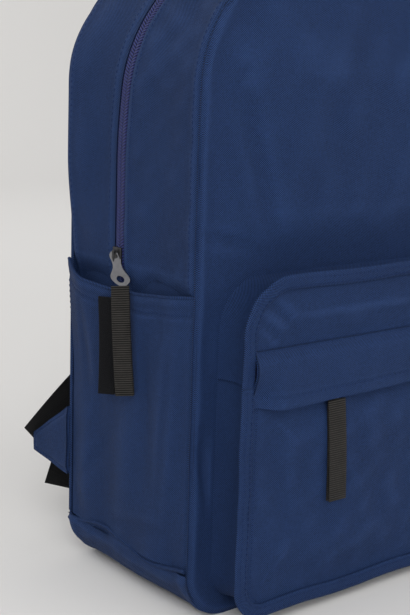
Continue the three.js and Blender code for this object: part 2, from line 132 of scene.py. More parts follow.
def area_light(name, place, target, size, power):
    light = bpy.data.lights.new(name, "AREA")
    light.shape, light.size, light.energy = "DISK", size, power
    lamp = bpy.data.objects.new(name, light)
    lamp.location = place
    aim = np.array(target) - np.array(place)
    lamp.rotation_euler = Vector(aim).to_track_quat("-Z", "Y").to_euler()
    bpy.context.scene.collection.objects.link(lamp)


def set_camera():
    """Looks along (sin a cos d, cos a cos d, -sin d), with the view's up turned by the roll."""
    a, d, r = CAMERA_TURN, CAMERA_DIP, CAMERA_ROLL
    look = Vector((math.sin(a) * math.cos(d), math.cos(a) * math.cos(d), -math.sin(d)))
    level = Vector((math.cos(a), -math.sin(a), 0))
    rise = level.cross(look)
    right = math.cos(r) * level + math.sin(r) * rise
    up = -math.sin(r) * level + math.cos(r) * rise
    camera = bpy.data.objects.new("camera", bpy.data.cameras.new("camera"))
    camera.data.lens, camera.data.sensor_width = CAMERA_LENS, 36
    camera.location = CAMERA_PLACE
    camera.rotation_euler = Matrix((right, up, -look)).transposed().to_euler()
    bpy.context.scene.collection.objects.link(camera)
    bpy.context.scene.camera = camera


studio()
middle = (0, 0, 0.2)
area_light("key", (-1.5, -1.4, 1.9), middle, 1.4, 24)
area_light("fill", (1.4, -2.0, 1.3), middle, 2.0, 9)
area_light("low fill", (-0.9, -2.2, 0.6), middle, 1.6, 21)
area_light("rim", (-1.2, 1.6, 1.5), middle, 1.2, 9)
area_light("backdrop", (0.6, 1.3, 2.2), (1.6, 3.3, 0.9), 1.2, 13)
set_camera()
world = bpy.data.worlds.new("studio_air")
world.use_nodes = True
world.node_tree.nodes["Background"].inputs["Color"].default_value = (1.0, 0.985, 0.965, 1)
world.node_tree.nodes["Background"].inputs["Strength"].default_value = 0.68
bpy.context.scene.world = world
bpy.context.scene.view_settings.view_transform = "Standard"
print("camera at", CAMERA_PLACE, "lens", CAMERA_LENS)

# %% [markdown]
# Every piece of cloth is a grid of points. A solid wall of cloth could come from a Solidify
# modifier. Here the inner face and the rim are worked out in the same arrays, because a piece that
# bends between two bodies must have its final points first. Each piece also gets a UV map in
# metres, so that a weave has the same size everywhere, and a value that is high where the cloth
# folds outwards. The cloth is painted paler there: partly wear, and partly a painted highlight on
# the ridge of the fold.

# %% Grids of points
def unit(vectors):
    """Each vector divided by its own length."""
    return vectors / np.maximum(np.linalg.norm(vectors, axis=-1, keepdims=True), 1e-12)


def smooth(value, start, end):
    """0 before start, 1 after end, and t * t * (3 - 2 t) between them."""
    t = np.clip((value - start) / (end - start), 0, 1)
    return t * t * (3 - 2 * t)


def bump(value, centre, width):
    """A soft hump: e to the power of minus the square of the distance over the width."""
    return np.exp(-(((value - centre) / width) ** 2))


def ripple(points, length, seed):
    """Soft creases, mostly from -1 to 1: 1.8 times the mean of seven sine waves in random directions."""
    draw = np.random.default_rng(seed)
    waves = unit(draw.normal(size=(7, 3))) * (2 * np.pi / length) * draw.uniform(0.6, 1.5, (7, 1))
    phases = draw.uniform(0, 2 * np.pi, 7)
    return np.sin(points @ waves.T + phases).mean(axis=-1) * 1.8


def crease(points, a, b, width, depth):
    """A valley along the line from a to b that fades at its ends, depth deep and width wide."""
    a, b = np.array(a), np.array(b)
    along = b - a
    t = np.clip(((points - a) @ along) / (along @ along), 0, 1)
    off = np.linalg.norm(points - (a + t[..., None] * along), axis=-1)
    return -depth * np.sin(np.pi * np.clip(t, 0.06, 0.94)) * np.exp(-((off / width) ** 2))


def grid_faces(rows, cols, round_rows, round_cols):
    """Quads between neighbours; a closed direction runs from its last line back to its first."""
    i = np.arange(rows if round_rows else rows - 1)[:, None]
    j = np.arange(cols if round_cols else cols - 1)[None, :]
    ahead, beside = (i + 1) % rows, (j + 1) % cols
    corners = [i * cols + j, i * cols + beside, ahead * cols + beside, ahead * cols + j]
    return np.stack(np.broadcast_arrays(*corners), axis=-1).reshape(-1, 4)


def grid_steps(points, axis, closed):
    """The step to the next point minus the step from the last, along one direction of a grid."""
    if closed:
        return np.roll(points, -1, axis) - np.roll(points, 1, axis)
    return np.gradient(points, axis=axis)


def grid_normals(points, closed=(False, False)):
    """The cross product of the step across and the step down, at unit length."""
    across = grid_steps(points, 1, closed[1])
    down = grid_steps(points, 0, closed[0])
    return unit(np.cross(across, down))


def grid_lengths(points, axis, closed):
    """Mean distance travelled along one direction, which makes a UV coordinate in metres."""
    ring = np.concatenate([points, points.take([0], axis=axis)], axis=axis) if closed else points
    steps = np.linalg.norm(np.diff(ring, axis=axis), axis=-1).mean(axis=1 - axis)
    return np.concatenate([[0.0], np.cumsum(steps)])


# This value paints the cloth paler on outward folds: partly wear, partly a painted highlight on the fold's ridge.
def rub_and_highlight_of(points, normals):
    """How far a point stands out past the mean of its four neighbours, scaled to 0..1."""
    inner = points.copy()
    inner[1:-1, 1:-1] = (points[2:, 1:-1] + points[:-2, 1:-1] + points[1:-1, 2:] + points[1:-1, :-2]) / 4
    return np.clip(((points - inner) * normals).sum(-1) / (0.12 * MM), 0, 1)


# %% Points into a mesh
def put_mesh(name, verts, quads, corner_uv, rub_and_highlight, finishes, slots=None):
    """One object from arrays: points, quads, a UV pair for each quad corner, and the value that paints outward
    folds paler (wear and painted highlight).
    """
    mesh = bpy.data.meshes.new(name)
    mesh.from_pydata(verts.tolist(), [], quads.tolist())
    layer = mesh.uv_layers.new(name="UVMap")
    layer.data.foreach_set("uv", corner_uv.reshape(-1).astype(np.float32))
    mesh.attributes.new("rub_and_highlight", "FLOAT", "POINT").data.foreach_set("value", rub_and_highlight.astype(np.float32))
    mesh.shade_smooth()
    for finish in finishes:
        mesh.materials.append(finish)
    if slots is not None:
        mesh.polygons.foreach_set("material_index", slots.astype(np.int32))
    piece = bpy.data.objects.new(name, mesh)
    bpy.context.scene.collection.objects.link(piece)
    return piece


def read_points(mesh):
    flat = np.empty(len(mesh.vertices) * 3, np.float32)
    mesh.vertices.foreach_get("co", flat)
    return flat.reshape(-1, 3).astype(float)


def cloth(name, points, finish, thick=CLOTH, away=CENTRE, closed=(False, False), flat_uv=None, turned=False):
    """A wall of cloth: the grid is its outer face, pointing away from a point inside the bag."""
    normals = grid_normals(points, closed)
    if ((points - away) * normals).sum(-1).mean() < 0:
        points = points[:, ::-1]
        normals = grid_normals(points, closed)
    rows, cols = points.shape[:2]
    count = rows * cols
    inner = points - normals * thick
    outer_quads = grid_faces(rows, cols, *closed)
    ring = border(rows, cols, closed)
    rim = np.concatenate([np.stack([r, r + count, np.roll(r, -1) + count, np.roll(r, -1)], -1) for r in ring])
    quads = np.concatenate([outer_quads, outer_quads[:, ::-1] + count, rim])
    u = grid_lengths(points, 1, closed[1])
    v = grid_lengths(points, 0, closed[0])
    if flat_uv is None:
        i = np.arange(rows if closed[0] else rows - 1)[:, None]
        j = np.arange(cols if closed[1] else cols - 1)[None, :]
        pairs = [(u[j] + 0 * i, v[i] + 0 * j), (u[j + 1] + 0 * i, v[i] + 0 * j)]
        pairs += [(u[j + 1] + 0 * i, v[i + 1] + 0 * j), (u[j] + 0 * i, v[i + 1] + 0 * j)]
        face_uv = np.stack([np.stack(pair, -1) for pair in pairs], axis=2).reshape(-1, 4, 2)
    else:
        face_uv = points.reshape(-1, 3)[outer_quads][..., list(flat_uv)]
    face_uv = face_uv[..., ::-1] if turned else face_uv
    point_uv = np.zeros((2 * count, 2))
    point_uv[outer_quads.reshape(-1)] = face_uv.reshape(-1, 2)
    point_uv[count:] = point_uv[:count]
    corner_uv = np.concatenate([face_uv, face_uv[:, ::-1], point_uv[rim]])
    rub_and_highlight = rub_and_highlight_of(points, normals).reshape(-1)
    verts = np.concatenate([points.reshape(-1, 3), inner.reshape(-1, 3)])
    return put_mesh(name, verts, quads, corner_uv, np.concatenate([rub_and_highlight, 0 * rub_and_highlight]), [finish])


def border(rows, cols, closed):
    """The grid's open edges as loops of point numbers, in the order that makes the rim face out."""
    number = np.arange(rows * cols).reshape(rows, cols)
    if closed == (False, False):
        loop = [number[0, :-1], number[:-1, -1], number[-1, :0:-1], number[:0:-1, 0]]
        return [np.concatenate(loop)[::-1]]
    if closed == (False, True):
        return [number[0, ::-1], number[-1]]
    return [number[:, 0], number[::-1, -1]]


# %% [markdown]
# Webbing, piping, bindings and cords are one profile carried along a path. A curve with a bevel
# would twist at will, so the profile's own across direction is given at every point of the path.

# %% A profile along a path
def resample(path, pitch):
    """Points at an even pitch on a smooth curve through the given ones (a Catmull-Rom spline)."""
    path = np.array(path, float)
    ends = np.concatenate([[2 * path[0] - path[1]], path, [2 * path[-1] - path[-2]]])
    t = np.linspace(0, 1, 24, endpoint=False)[:, None]
    a, b, c, d = (ends[k:len(ends) - 3 + k, None] for k in range(4))
    square = (2 * a - 5 * b + 4 * c - d) * t ** 2
    cube = (3 * b - a - 3 * c + d) * t ** 3
    spline = 0.5 * (2 * b + (c - a) * t + square + cube)
    fine = np.concatenate([spline.reshape(-1, path.shape[1]), path[-1:]])
    far = np.concatenate([[0], np.cumsum(np.linalg.norm(np.diff(fine, axis=0), axis=1))])
    even = np.linspace(0, far[-1], max(int(round(far[-1] / pitch)), 2) + 1)
    return np.stack([np.interp(even, far, fine[:, k]) for k in range(path.shape[1])], axis=-1)


def strip_profile(width, thick, edge=0.45):
    """A flat oval: (half width * cos a, half thickness * sin a), squared up by a power of edge."""
    a = np.linspace(0, 2 * np.pi, 28, endpoint=False)
    x = np.sign(np.cos(a)) * np.abs(np.cos(a)) ** edge * width / 2
    y = np.sign(np.sin(a)) * np.abs(np.sin(a)) ** edge * thick / 2
    return np.stack([x, y], axis=-1)


def carried(name, path, across, profile, finish, pitch=1.5 * MM, swell=None, smooth_path=True):
    """The profile's x goes along `across` and its y along path direction x across, at every point.
    Both ends are closed by shrinking the profile to its middle over a last short step."""
    line = resample(path, pitch) if smooth_path else np.array(path, float)
    ahead = unit(np.gradient(line, axis=0))
    across = np.broadcast_to(np.array(across, float), line.shape)
    side = unit(across - (across * ahead).sum(-1, keepdims=True) * ahead)
    over = np.cross(ahead, side)
    scale = np.ones(len(line)) if swell is None else swell(np.linspace(0, 1, len(line)))
    x, y = profile[:, 0], profile[:, 1]
    sideways = scale[:, None, None] * x[None, :, None] * side[:, None]
    rings = line[:, None] + sideways + y[None, :, None] * over[:, None]
    middle = rings.mean(axis=1, keepdims=True)
    first = middle[:1] + (rings[:1] - middle[:1]) * 0.02
    last = middle[-1:] + (rings[-1:] - middle[-1:]) * 0.02
    grid = np.concatenate([first, rings, last])
    rows, cols = grid.shape[:2]
    quads = grid_faces(rows, cols, False, True)
    u = np.concatenate([x, x[:1]])
    v = grid_lengths(grid, 0, False)
    i, j = np.arange(rows - 1)[:, None], np.arange(cols)[None, :]
    pairs = [(u[j] + 0 * i, v[i] + 0 * j), (u[j + 1] + 0 * i, v[i] + 0 * j)]
    pairs += [(u[j + 1] + 0 * i, v[i + 1] + 0 * j), (u[j] + 0 * i, v[i + 1] + 0 * j)]
    face_uv = np.stack([np.stack(pair, -1) for pair in pairs], axis=2).reshape(-1, 4, 2)
    normal = grid_normals(grid[1:-1], (False, True))
    if ((grid[1:-1] - middle) * normal).sum() < 0:
        quads, face_uv = quads[:, ::-1], face_uv[:, ::-1]
    rub_and_highlight = np.zeros(rows * cols)
    piece = put_mesh(name, grid.reshape(-1, 3), quads, face_uv, rub_and_highlight, [finish])
    close_holes(piece)
    return piece


def close_holes(piece):
    """Fills the two tiny rings that are left at the ends of a carried profile."""
    shape = bmesh.new()
    shape.from_mesh(piece.data)
    open_edges = [edge for edge in shape.edges if edge.is_boundary]
    bmesh.ops.holes_fill(shape, edges=open_edges, sides=0)
    shape.to_mesh(piece.data)
    shape.free()


# %% [markdown]
# A seam is sewn with hundreds of stitches, each a grain of thread that dips into the cloth at both
# ends. They are real geometry, so they catch the light, but each is only eighteen faces.

# %% Stitches
STITCH_LENGTH, STITCH_GAP, THREAD = 2.9 * MM, 1.1 * MM, 0.34 * MM


def stitch_row(path, normals, lift=0.08 * MM, smooth_path=False):
    """Places a grain of thread every stitch length plus gap along the path, on its normals."""
    path, normals = np.array(path, float), np.broadcast_to(np.array(normals, float), np.shape(path))
    both = np.concatenate([path, normals], axis=1)
    if smooth_path:
        both = resample(both, 1 * MM)
    far = np.concatenate([[0], np.cumsum(np.linalg.norm(np.diff(both[:, :3], axis=0), axis=1))])
    middles = np.arange(STITCH_LENGTH, far[-1] - STITCH_LENGTH / 2, STITCH_LENGTH + STITCH_GAP)
    at = np.stack([np.interp(middles, far, both[:, k]) for k in range(6)], axis=-1)
    ahead = np.stack([np.interp(middles + 0.5 * MM, far, both[:, k]) for k in range(3)], axis=-1) - at[:, :3]
    normal = unit(at[:, 3:])
    ahead = unit(ahead - (ahead * normal).sum(-1, keepdims=True) * normal)
    side = np.cross(normal, ahead)
    t = np.array([-1, -0.55, 0, 0.55, 1])
    a = np.linspace(0, 2 * np.pi, 4, endpoint=False) + np.pi / 4
    girth = THREAD * np.sqrt(np.maximum(1 - t ** 2, 0.02))
    rise = lift - 0.5 * MM * t ** 4
    along = (t * STITCH_LENGTH / 2)[:, None] + 0 * a[None]
    out = rise[:, None] + girth[:, None] * np.sin(a)[None]
    wide = girth[:, None] * np.cos(a)[None]
    grains = at[:, None, None, :3] + along[..., None] * ahead[:, None, None]
    grains = grains + out[..., None] * normal[:, None, None] + wide[..., None] * side[:, None, None]
    return grains


def sew(name, rows, finish):
    """One object from several rows of grains of thread."""
    grains = np.concatenate(rows)
    quads = grid_faces(5, 4, False, True)
    ends = np.array([[3, 2, 1, 0], [16, 17, 18, 19]])
    quads = np.concatenate([quads, ends])
    first = np.arange(len(grains))[:, None, None] * 20
    quads = (quads[None] + first).reshape(-1, 4)
    verts = grains.reshape(-1, 3)
    corner_uv = np.zeros((len(quads), 4, 2))
    piece = put_mesh(name, verts, quads, corner_uv, np.zeros(len(verts)), [finish])
    fix_outward(piece)
    return piece


def fix_outward(piece):
    """Turns every closed shell's faces outwards."""
    shape = bmesh.new()
    shape.from_mesh(piece.data)
    bmesh.ops.recalc_face_normals(shape, faces=shape.faces)
    shape.to_mesh(piece.data)
    shape.free()

# %% [markdown]
# Finishes are procedural. Node trees are easier to read as sums than as boxes and wires, so one
# small class wraps an output socket, and arithmetic on it adds the Math nodes.

# %% Shader sums
class Sock:
    """An output socket that can be added, multiplied and so on."""

    def __init__(self, finish, socket):
        self.finish, self.socket = finish, socket

    def math(self, operation, *values):
        inputs = dict(enumerate(values))
        return self.finish.node("ShaderNodeMath", {"operation": operation}, inputs)

    def __add__(self, other):
        return self.math("ADD", self, other)

    def __sub__(self, other):
        return self.math("SUBTRACT", self, other)

    def __rsub__(self, other):
        return self.math("SUBTRACT", other, self)

    def __mul__(self, other):
        return self.math("MULTIPLY", self, other)

    def __truediv__(self, other):
        return self.math("DIVIDE", self, other)

    __radd__, __rmul__ = __add__, __mul__

    def sin(self):
        return self.math("SINE", self)

    def size(self):
        return self.math("ABSOLUTE", self)

    def clamp(self):
        return self.math("MINIMUM", self.math("MAXIMUM", self, 0.0), 1.0)


class Finish:
    """A material under construction, with its Principled shader."""

    def __init__(self, name):
        self.material = bpy.data.materials.new(name)
        self.material.use_nodes = True
        self.tree = self.material.node_tree
        self.shader = self.tree.nodes["Principled BSDF"]

    def node(self, kind, settings=None, inputs=None, output=0):
        """Adds a node; its settings go first, then values or links for its input sockets."""
        node = self.tree.nodes.new(kind)
        for key, value in (settings or {}).items():
            setattr(node, key, value)
        for key, value in (inputs or {}).items():
            self.feed(node.inputs[key], value)
        return Sock(self, node.outputs[output])

    def feed(self, socket, value):
        if isinstance(value, Sock):
            self.tree.links.new(value.socket, socket)
        else:
            socket.default_value = value

    def set(self, **values):
        """Sets or links the shader's sockets; an underscore stands for a space."""
        for key, value in values.items():
            self.feed(self.shader.inputs[key.replace("_", " ")], value)

    def uv(self):
        """The UV map in metres, as two sockets."""
        place = self.node("ShaderNodeUVMap", {"uv_map": "UVMap"})
        split = self.node("ShaderNodeSeparateXYZ", None, {0: place})
        return split, Sock(self, split.socket.node.outputs[1])

    def here(self):
        return self.node("ShaderNodeTexCoord", None, None, "Object")

    def noise(self, where, scale, detail=3.0):
        settings = {"noise_dimensions": "3D"}
        return self.node("ShaderNodeTexNoise", settings, {"Vector": where, "Scale": scale, "Detail": detail})

    def rub_and_highlight(self):
        return self.node("ShaderNodeAttribute", {"attribute_name": "rub_and_highlight"}, None, "Fac")

    def mix(self, share, a, b):
        """A colour between a and b."""
        return self.node("ShaderNodeMix", {"data_type": "RGBA"}, {0: share, 6: a, 7: b}, 2)

    def bump(self, height, distance, strength=1.0):
        values = {"Height": height, "Distance": distance, "Strength": strength}
        self.set(Normal=self.node("ShaderNodeBump", None, values))


def linear(red, green, blue):
    """A colour from 0..255 display values: each becomes ((c + 0.055) / 1.055) ** 2.4."""
    shares = np.array([red, green, blue]) / 255
    return (*(((shares + 0.055) / 1.055) ** 2.4).tolist(), 1.0)


# %% [markdown]
# The bag's navy cloth is a heavy polyester: warp and weft cross in a checker that repeats every
# 1.35 mm, some threads lie a little prouder, and the dye takes them unevenly. The checker is also
# painted into the colour, paler on the proud crossings and darker between them: a painted highlight
# and painted shade. The cloth is painted paler where it folds outwards, partly as wear and partly
# as a painted highlight on the fold. An image of a weave would tile, so the threads are two sine
# waves on the UV map, and noise in the bag's own space makes the rest.

# %% Navy cloth
THREAD_PITCH = 1.35 * MM


def woven(name, deep, pale, pitch=THREAD_PITCH, sheen=0.25, rough=0.72):
    """Plain weave: height = sin(2 pi u / p) * sin(2 pi v / p), with slubs along both threads."""
    finish = Finish(name)
    u, v = finish.uv()
    wave = 2 * math.pi / pitch
    weave = (u * wave).sin() * (v * wave).sin()
    place = finish.node("ShaderNodeUVMap", {"uv_map": "UVMap"})
    warp = finish.noise(finish.node("ShaderNodeVectorMath", {"operation": "MULTIPLY"},
        {0: place, 1: (700, 170, 1)}), 1.0)
    weft = finish.noise(finish.node("ShaderNodeVectorMath", {"operation": "MULTIPLY"},
        {0: place, 1: (170, 700, 1)}), 1.0)
    slub = (warp + weft) * 0.5
    where = finish.here()
    cloud = finish.noise(where, 22.0)
    grain = finish.noise(where, 900.0, 1.0)
    # The weave's height is painted into the colour: paler on the proud crossings, darker between them, as painted
    # highlight and painted shade. The last term of the share paints outward folds paler: wear, and a painted
    # highlight.
    threads = weave * 1.25 + (slub - 0.5) * 0.7 + (grain - 0.5) * 0.5
    share = (0.38 + threads + (cloud - 0.5) * 0.35 + finish.rub_and_highlight() * 0.3).clamp()
    finish.set(Base_Color=finish.mix(share, deep, pale))
    finish.set(Roughness=(rough + (cloud - 0.5) * 0.12 - finish.rub_and_highlight() * 0.08).clamp())
    finish.set(Sheen_Weight=sheen, Sheen_Roughness=0.4, Sheen_Tint=(0.4, 0.55, 1.0, 1.0))
    finish.set(Specular_IOR_Level=0.1)
    finish.bump(weave * 0.5 + slub * 0.8 + grain * 0.3, 0.3 * MM, 0.9)
    return finish.material


NAVY = woven("navy_oxford_cloth", linear(3, 14, 38), linear(41, 64, 108), THREAD_PITCH, 0.02)
LINING = woven("navy_lining", linear(22, 27, 44), linear(46, 54, 80), 0.45 * MM, 0.1, 0.6)
BINDING = woven("binding_tape", linear(17, 24, 46), linear(42, 56, 94), 0.7 * MM, 0.2)
LABEL = woven("smooth_label_weave", linear(4, 4, 5), linear(24, 24, 26), 0.35 * MM, 0.02, 0.5)
print("weaves:", NAVY.name, LINING.name, BINDING.name, LABEL.name)

# %% [markdown]
# Webbing is ribbed: fine cords run across it. The tighter selvedge of real webbing is left out. The
# zip coil is a nylon spiral, seen as slanted loops that meet like a herringbone on the centre line.

# %% Webbing, coil, thread, metal and plastic


def ribbed(name, dark, light, rib=1.5 * MM, across=True):
    """Ribs: height = |sin(pi v / rib)|, with a fine cross weave; the colour is dark between the ribs as painted
    shade and pale on their tops as painted highlight.
    """
    finish = Finish(name)
    u, v = finish.uv()
    along, over = (v, u) if across else (u, v)
    ribs = (along * (math.pi / rib)).sin().size()
    cords = (over * (2 * math.pi / (0.8 * MM))).sin() * 0.5 + 0.5
    dust = finish.noise(finish.here(), 160.0)
    # Painted shade in the grooves and painted highlight on the rib tops and cords: the colour follows their
    # height.
    share = (ribs * ribs * 0.75 + cords * 0.15 + (dust - 0.5) * 0.5).clamp()
    finish.set(Base_Color=finish.mix(share, dark, light))
    finish.set(Roughness=(0.62 + (dust - 0.5) * 0.3).clamp())
    finish.set(Sheen_Weight=0.02, Sheen_Roughness=0.4, Specular_IOR_Level=0.16)
    finish.bump(ribs + cords * 0.25, 0.7 * MM)
    return finish.material


def coil_finish():
    """Slanted loops: height = |sin(pi (v + k |u|) / pitch)|, which mirrors on the centre line; the colour follows
    it, dark between the loops as painted shade and pale on them as painted highlight.
    """
    finish = Finish("nylon_coil")
    u, v = finish.uv()
    loops = ((v + u.size() * 0.7) * (math.pi / (2.1 * MM))).sin().size()
    dust = finish.noise(finish.here(), 260.0)
    # Painted shade between the loops and painted highlight on their tops.
    share = (loops * 0.8 + (dust - 0.5) * 0.3).clamp()
    finish.set(Base_Color=finish.mix(share, linear(1, 2, 10), linear(52, 60, 118)))
    finish.set(Roughness=(0.38 + (dust - 0.5) * 0.2).clamp())
    finish.set(Specular_IOR_Level=0.2)
    finish.bump(loops, 0.5 * MM)
    return finish.material


def hard_finish(name, deep, pale, metallic, rough, scale=420.0, depth=0.03 * MM, shine=0.5):
    """Cast or moulded: a fine grain moves the colour, the roughness and the height a little."""
    finish = Finish(name)
    where = finish.here()
    grain = finish.noise(where, scale)
    cloud = finish.noise(where, 60.0)
    finish.set(Base_Color=finish.mix((cloud * 0.7 + grain * 0.3).clamp(), deep, pale))
    finish.set(Roughness=(rough + (grain - 0.5) * 0.18 + (cloud - 0.5) * 0.16).clamp())
    finish.set(Metallic=metallic, Specular_IOR_Level=shine)
    finish.bump(grain, depth, 0.6)
    return finish.material


WEBBING = ribbed("black_ribbed_webbing", linear(1, 1, 1), linear(58, 56, 54))
STRAP_WEBBING = ribbed("black_strap_webbing", linear(2, 2, 3), linear(26, 26, 28), 1.1 * MM, False)
COIL = coil_finish()
THREAD_FINISH = hard_finish("navy_thread", linear(6, 18, 46), linear(34, 54, 98), 0.0, 0.8, shine=0.1)
GUNMETAL = hard_finish("pressed_zip_metal", linear(78, 78, 82), linear(140, 140, 144), 1.0, 0.4)
BLACK_METAL = hard_finish("black_painted_slider", linear(14, 14, 16), linear(40, 40, 44), 0.2, 0.36)
PLASTIC = hard_finish("black_moulded_plastic", linear(14, 14, 15), linear(30, 30, 32), 0.0, 0.42)
FOAM = hard_finish("grey_foam_sheet", linear(120, 120, 122), linear(165, 165, 166), 0.0, 0.9, 900.0, 0.3 * MM)
BOARD = hard_finish("base_board", linear(70, 66, 60), linear(110, 104, 96), 0.0, 0.75)
print("hard finishes:", GUNMETAL.name, BLACK_METAL.name, PLASTIC.name)

# %% [markdown]
# The shell's outline is a rectangle with rounded corners. A panel could be a flat polygon, but it
# would have no points inside to swell and crease. Here each panel is rows of points: at height z
# the row runs from one side of the outline to the other, with more rows round the corners, so the
# edge is exact and no pole is needed.

# %% The outline
def half_width(z, half, low, high, r_low, r_high):
    """Half the outline's width at height z: half - r + sqrt(r^2 - d^2) inside a corner's circle."""
    d_low = np.clip(low + r_low - z, 0, r_low)
    d_high = np.clip(z - (high - r_high), 0, r_high)
    bottom = half - r_low + np.sqrt(np.maximum(r_low ** 2 - d_low ** 2, 0))
    top = half - r_high + np.sqrt(np.maximum(r_high ** 2 - d_high ** 2, 0))
    return np.minimum(bottom, top)


def edge_distance(x, z, half, low, high, r_low, r_high):
    """How far a point lies inside the outline, which is 0 at its edge."""
    middle, tall = (low + high) / 2, (high - low) / 2
    r = np.where(z > middle, r_high, r_low)
    qx = np.abs(x) - half + r
    qz = np.abs(z - middle) - tall + r
    far = np.hypot(np.maximum(qx, 0), np.maximum(qz, 0)) + np.minimum(np.maximum(qx, qz), 0)
    return r - far


def row_heights(low, high, r_low, r_high, pitch):
    """Heights at an even pitch, and at even angles round each corner."""
    turns = np.linspace(0, math.pi / 2, 20)
    bottom = low + r_low * (1 - np.cos(turns)) if r_low else np.array([low])
    top = high - r_high + r_high * np.sin(turns) if r_high else np.array([high])
    straight = np.linspace(bottom[-1], top[0], max(int((top[0] - bottom[-1]) / pitch), 2))
    return np.concatenate([bottom[:-1], straight, top[1:]])


def panel(shape, y, columns=110, pitch=3 * MM):
    """A flat panel inside the outline (half, low, high, r_low, r_high) at depth y."""
    z = row_heights(*shape[1:], pitch)[:, None]
    u = np.sin(np.linspace(-1, 1, columns) * math.pi / 2)[None, :]
    u = 0.5 * u + 0.5 * np.linspace(-1, 1, columns)[None, :]
    x = half_width(z, *shape) * u
    return np.stack([x, np.full_like(x, y), z + 0 * x], axis=-1)


def outline_path(shape, pitch, start):
    """Points and outward normals round the outline from height `start` on the left, over its top, to
    the same height on the right."""
    half, low, high, r_low, r_high = shape
    up = np.arange(start, high - r_high, pitch)
    left = np.stack([np.full_like(up, -half), up], axis=-1)
    turns = np.linspace(math.pi, math.pi / 2, 40)
    arc = np.stack([-half + r_high + r_high * np.cos(turns), high - r_high + r_high * np.sin(turns)], -1)
    across = np.arange(arc[-1, 0] + pitch, 0, pitch)
    top = np.stack([across, np.full_like(across, high)], axis=-1)
    one = np.concatenate([left, arc, top])
    path = np.concatenate([one, one[::-1] * [-1, 1]])
    ahead = unit(np.gradient(path, axis=0))
    return path, np.stack([-ahead[:, 1], ahead[:, 0]], axis=-1)


BODY = (HALF, 0.0, TOP, BASE_RADIUS, TOP_RADIUS)


def bends_with_lid(piece):
    """Bakes the piece's transform into its points; it rides on neither the bag nor the lid, and does not bend."""
    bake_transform(piece)


# %% [markdown]
# The front panel and the lid are one piece of cloth, which folds when the zip is open, so they are
# one grid. It is fixed in place and is not bent between the two bodies. Its edge rolls into the
# seam, its middle bellies out above the pocket, and shallow creases run down from the upper corner.

# %% Front panel
z_belly = panel(BODY, FRONT)
inset = edge_distance(z_belly[..., 0], z_belly[..., 2], *BODY)
above_pocket = smooth(z_belly[..., 2], 0.236, 0.275)
roll = 1.4 * MM * (smooth(inset, 0, 5 * MM) - 0.8) + 0.7 * MM * bump(inset, 5 * MM, 4 * MM)
belly = above_pocket * smooth(inset, 0, 80 * MM) * 6 * MM
folds = ripple(z_belly * [1, 1, 0.45], 0.11, 3) * 2.2 * MM * smooth(inset, 4 * MM, 50 * MM)
folds = folds + ripple(z_belly * [1, 1, 0.5], 0.035, 9) * 0.55 * MM
folds = folds + crease(z_belly, (-0.118, FRONT, 0.36), (-0.085, FRONT, 0.25), 8 * MM, 2.6 * MM)
folds = folds + crease(z_belly, (-0.05, FRONT, 0.39), (-0.02, FRONT, 0.26), 14 * MM, 1.6 * MM)
folds = folds + crease(z_belly, (0.04, FRONT, 0.38), (0.075, FRONT, 0.25), 12 * MM, 1.6 * MM)
folds = folds + crease(z_belly, (-0.143, FRONT, 0.262), (-0.098, FRONT, 0.249), 5 * MM, 2.6 * MM)
folds = folds + crease(z_belly, (-0.140, FRONT, 0.135), (-0.128, FRONT, 0.06), 5 * MM, 2.0 * MM)
beside_pocket = smooth(np.abs(z_belly[..., 0]), POCKET_HALF + 2 * MM, POCKET_HALF + 8 * MM)
folds = folds * (0.12 + 0.88 * np.maximum(above_pocket, beside_pocket))
z_belly[..., 1] -= roll + belly + folds
front_cloth = cloth("front_panel_cloth", z_belly, NAVY, flat_uv=(0, 2))
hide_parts("front_panel", "lid_panel")
bends_with_lid(front_cloth)
print("front panel stands out", round((FRONT - z_belly[..., 1].min()) * 1000, 1), "mm at its fullest")

# %% [markdown]
# The gusset is the long strip round the body. Its front part lies between the front seam and the
# zip; it is fixed in place and does not fold with the lid. Across, it dips at the seam, rises in a
# roll, sags in the middle and folds under beside the coil. The zip runs at y = 16 mm on the sides
# and comes forward over the top. The rear part also swells between z = 220 and 425 mm, towards the
# back seam. The swell is not brought back to zero at that seam, so the cloth stands off it there: a
# known fault.

# %% Gusset, front and rear
ZIP_SIDE = low("main_zip_rear_half").y - 1.2 * MM


def zip_line(z):
    """The zip's depth: its place at the sides, less 14 mm by a smooth step over the top."""
    return ZIP_SIDE - 14 * MM * smooth(z, 0.30, 0.43)


def strip_round(share, near, far, profile, start, pitch=3 * MM):
    """Outline point + normal * profile(share), with depth going from near to far by share."""
    path, normal = outline_path(BODY, pitch, start)
    s = share[None, :]
    y = near(path[:, 1])[:, None] * (1 - s) + far(path[:, 1])[:, None] * s
    base = np.stack([path[:, 0, None] + 0 * y, y, path[:, 1, None] + 0 * y], axis=-1)
    out = np.stack([normal[:, 0], 0 * normal[:, 0], normal[:, 1]], axis=-1)[:, None]
    lift = profile(s, base)
    lift = lift - 4.6 * MM * (1 - smooth(base[..., 2], 0.213, 0.233))
    return base + out * lift[..., None]


def front_profile(s, at):
    """Seam dip, a roll at 6 mm, a valley in the middle and a fold under at the zip."""
    far = s * 0.079
    wide = 0.079 - far
    lift = -1.6 * MM * (1 - smooth(far, 0, 4.5 * MM)) + 0.9 * MM * bump(far, 6 * MM, 4 * MM)
    lift = lift - 2.2 * MM * np.sin(np.pi * s) ** 2 * (1 - 0.5 * smooth(at[..., 2], 0.40, 0.44))
    lift = lift - 1.2 * MM * (1 - smooth(wide, 0, 3 * MM)) + 0.5 * MM * bump(wide, 4 * MM, 3 * MM)
    lift = lift + ripple(at * [1, 1, 0.7], 0.06, 5) * 1.7 * MM * np.sin(np.pi * s)
    return lift + ripple(at, 0.022, 6) * 0.4 * MM


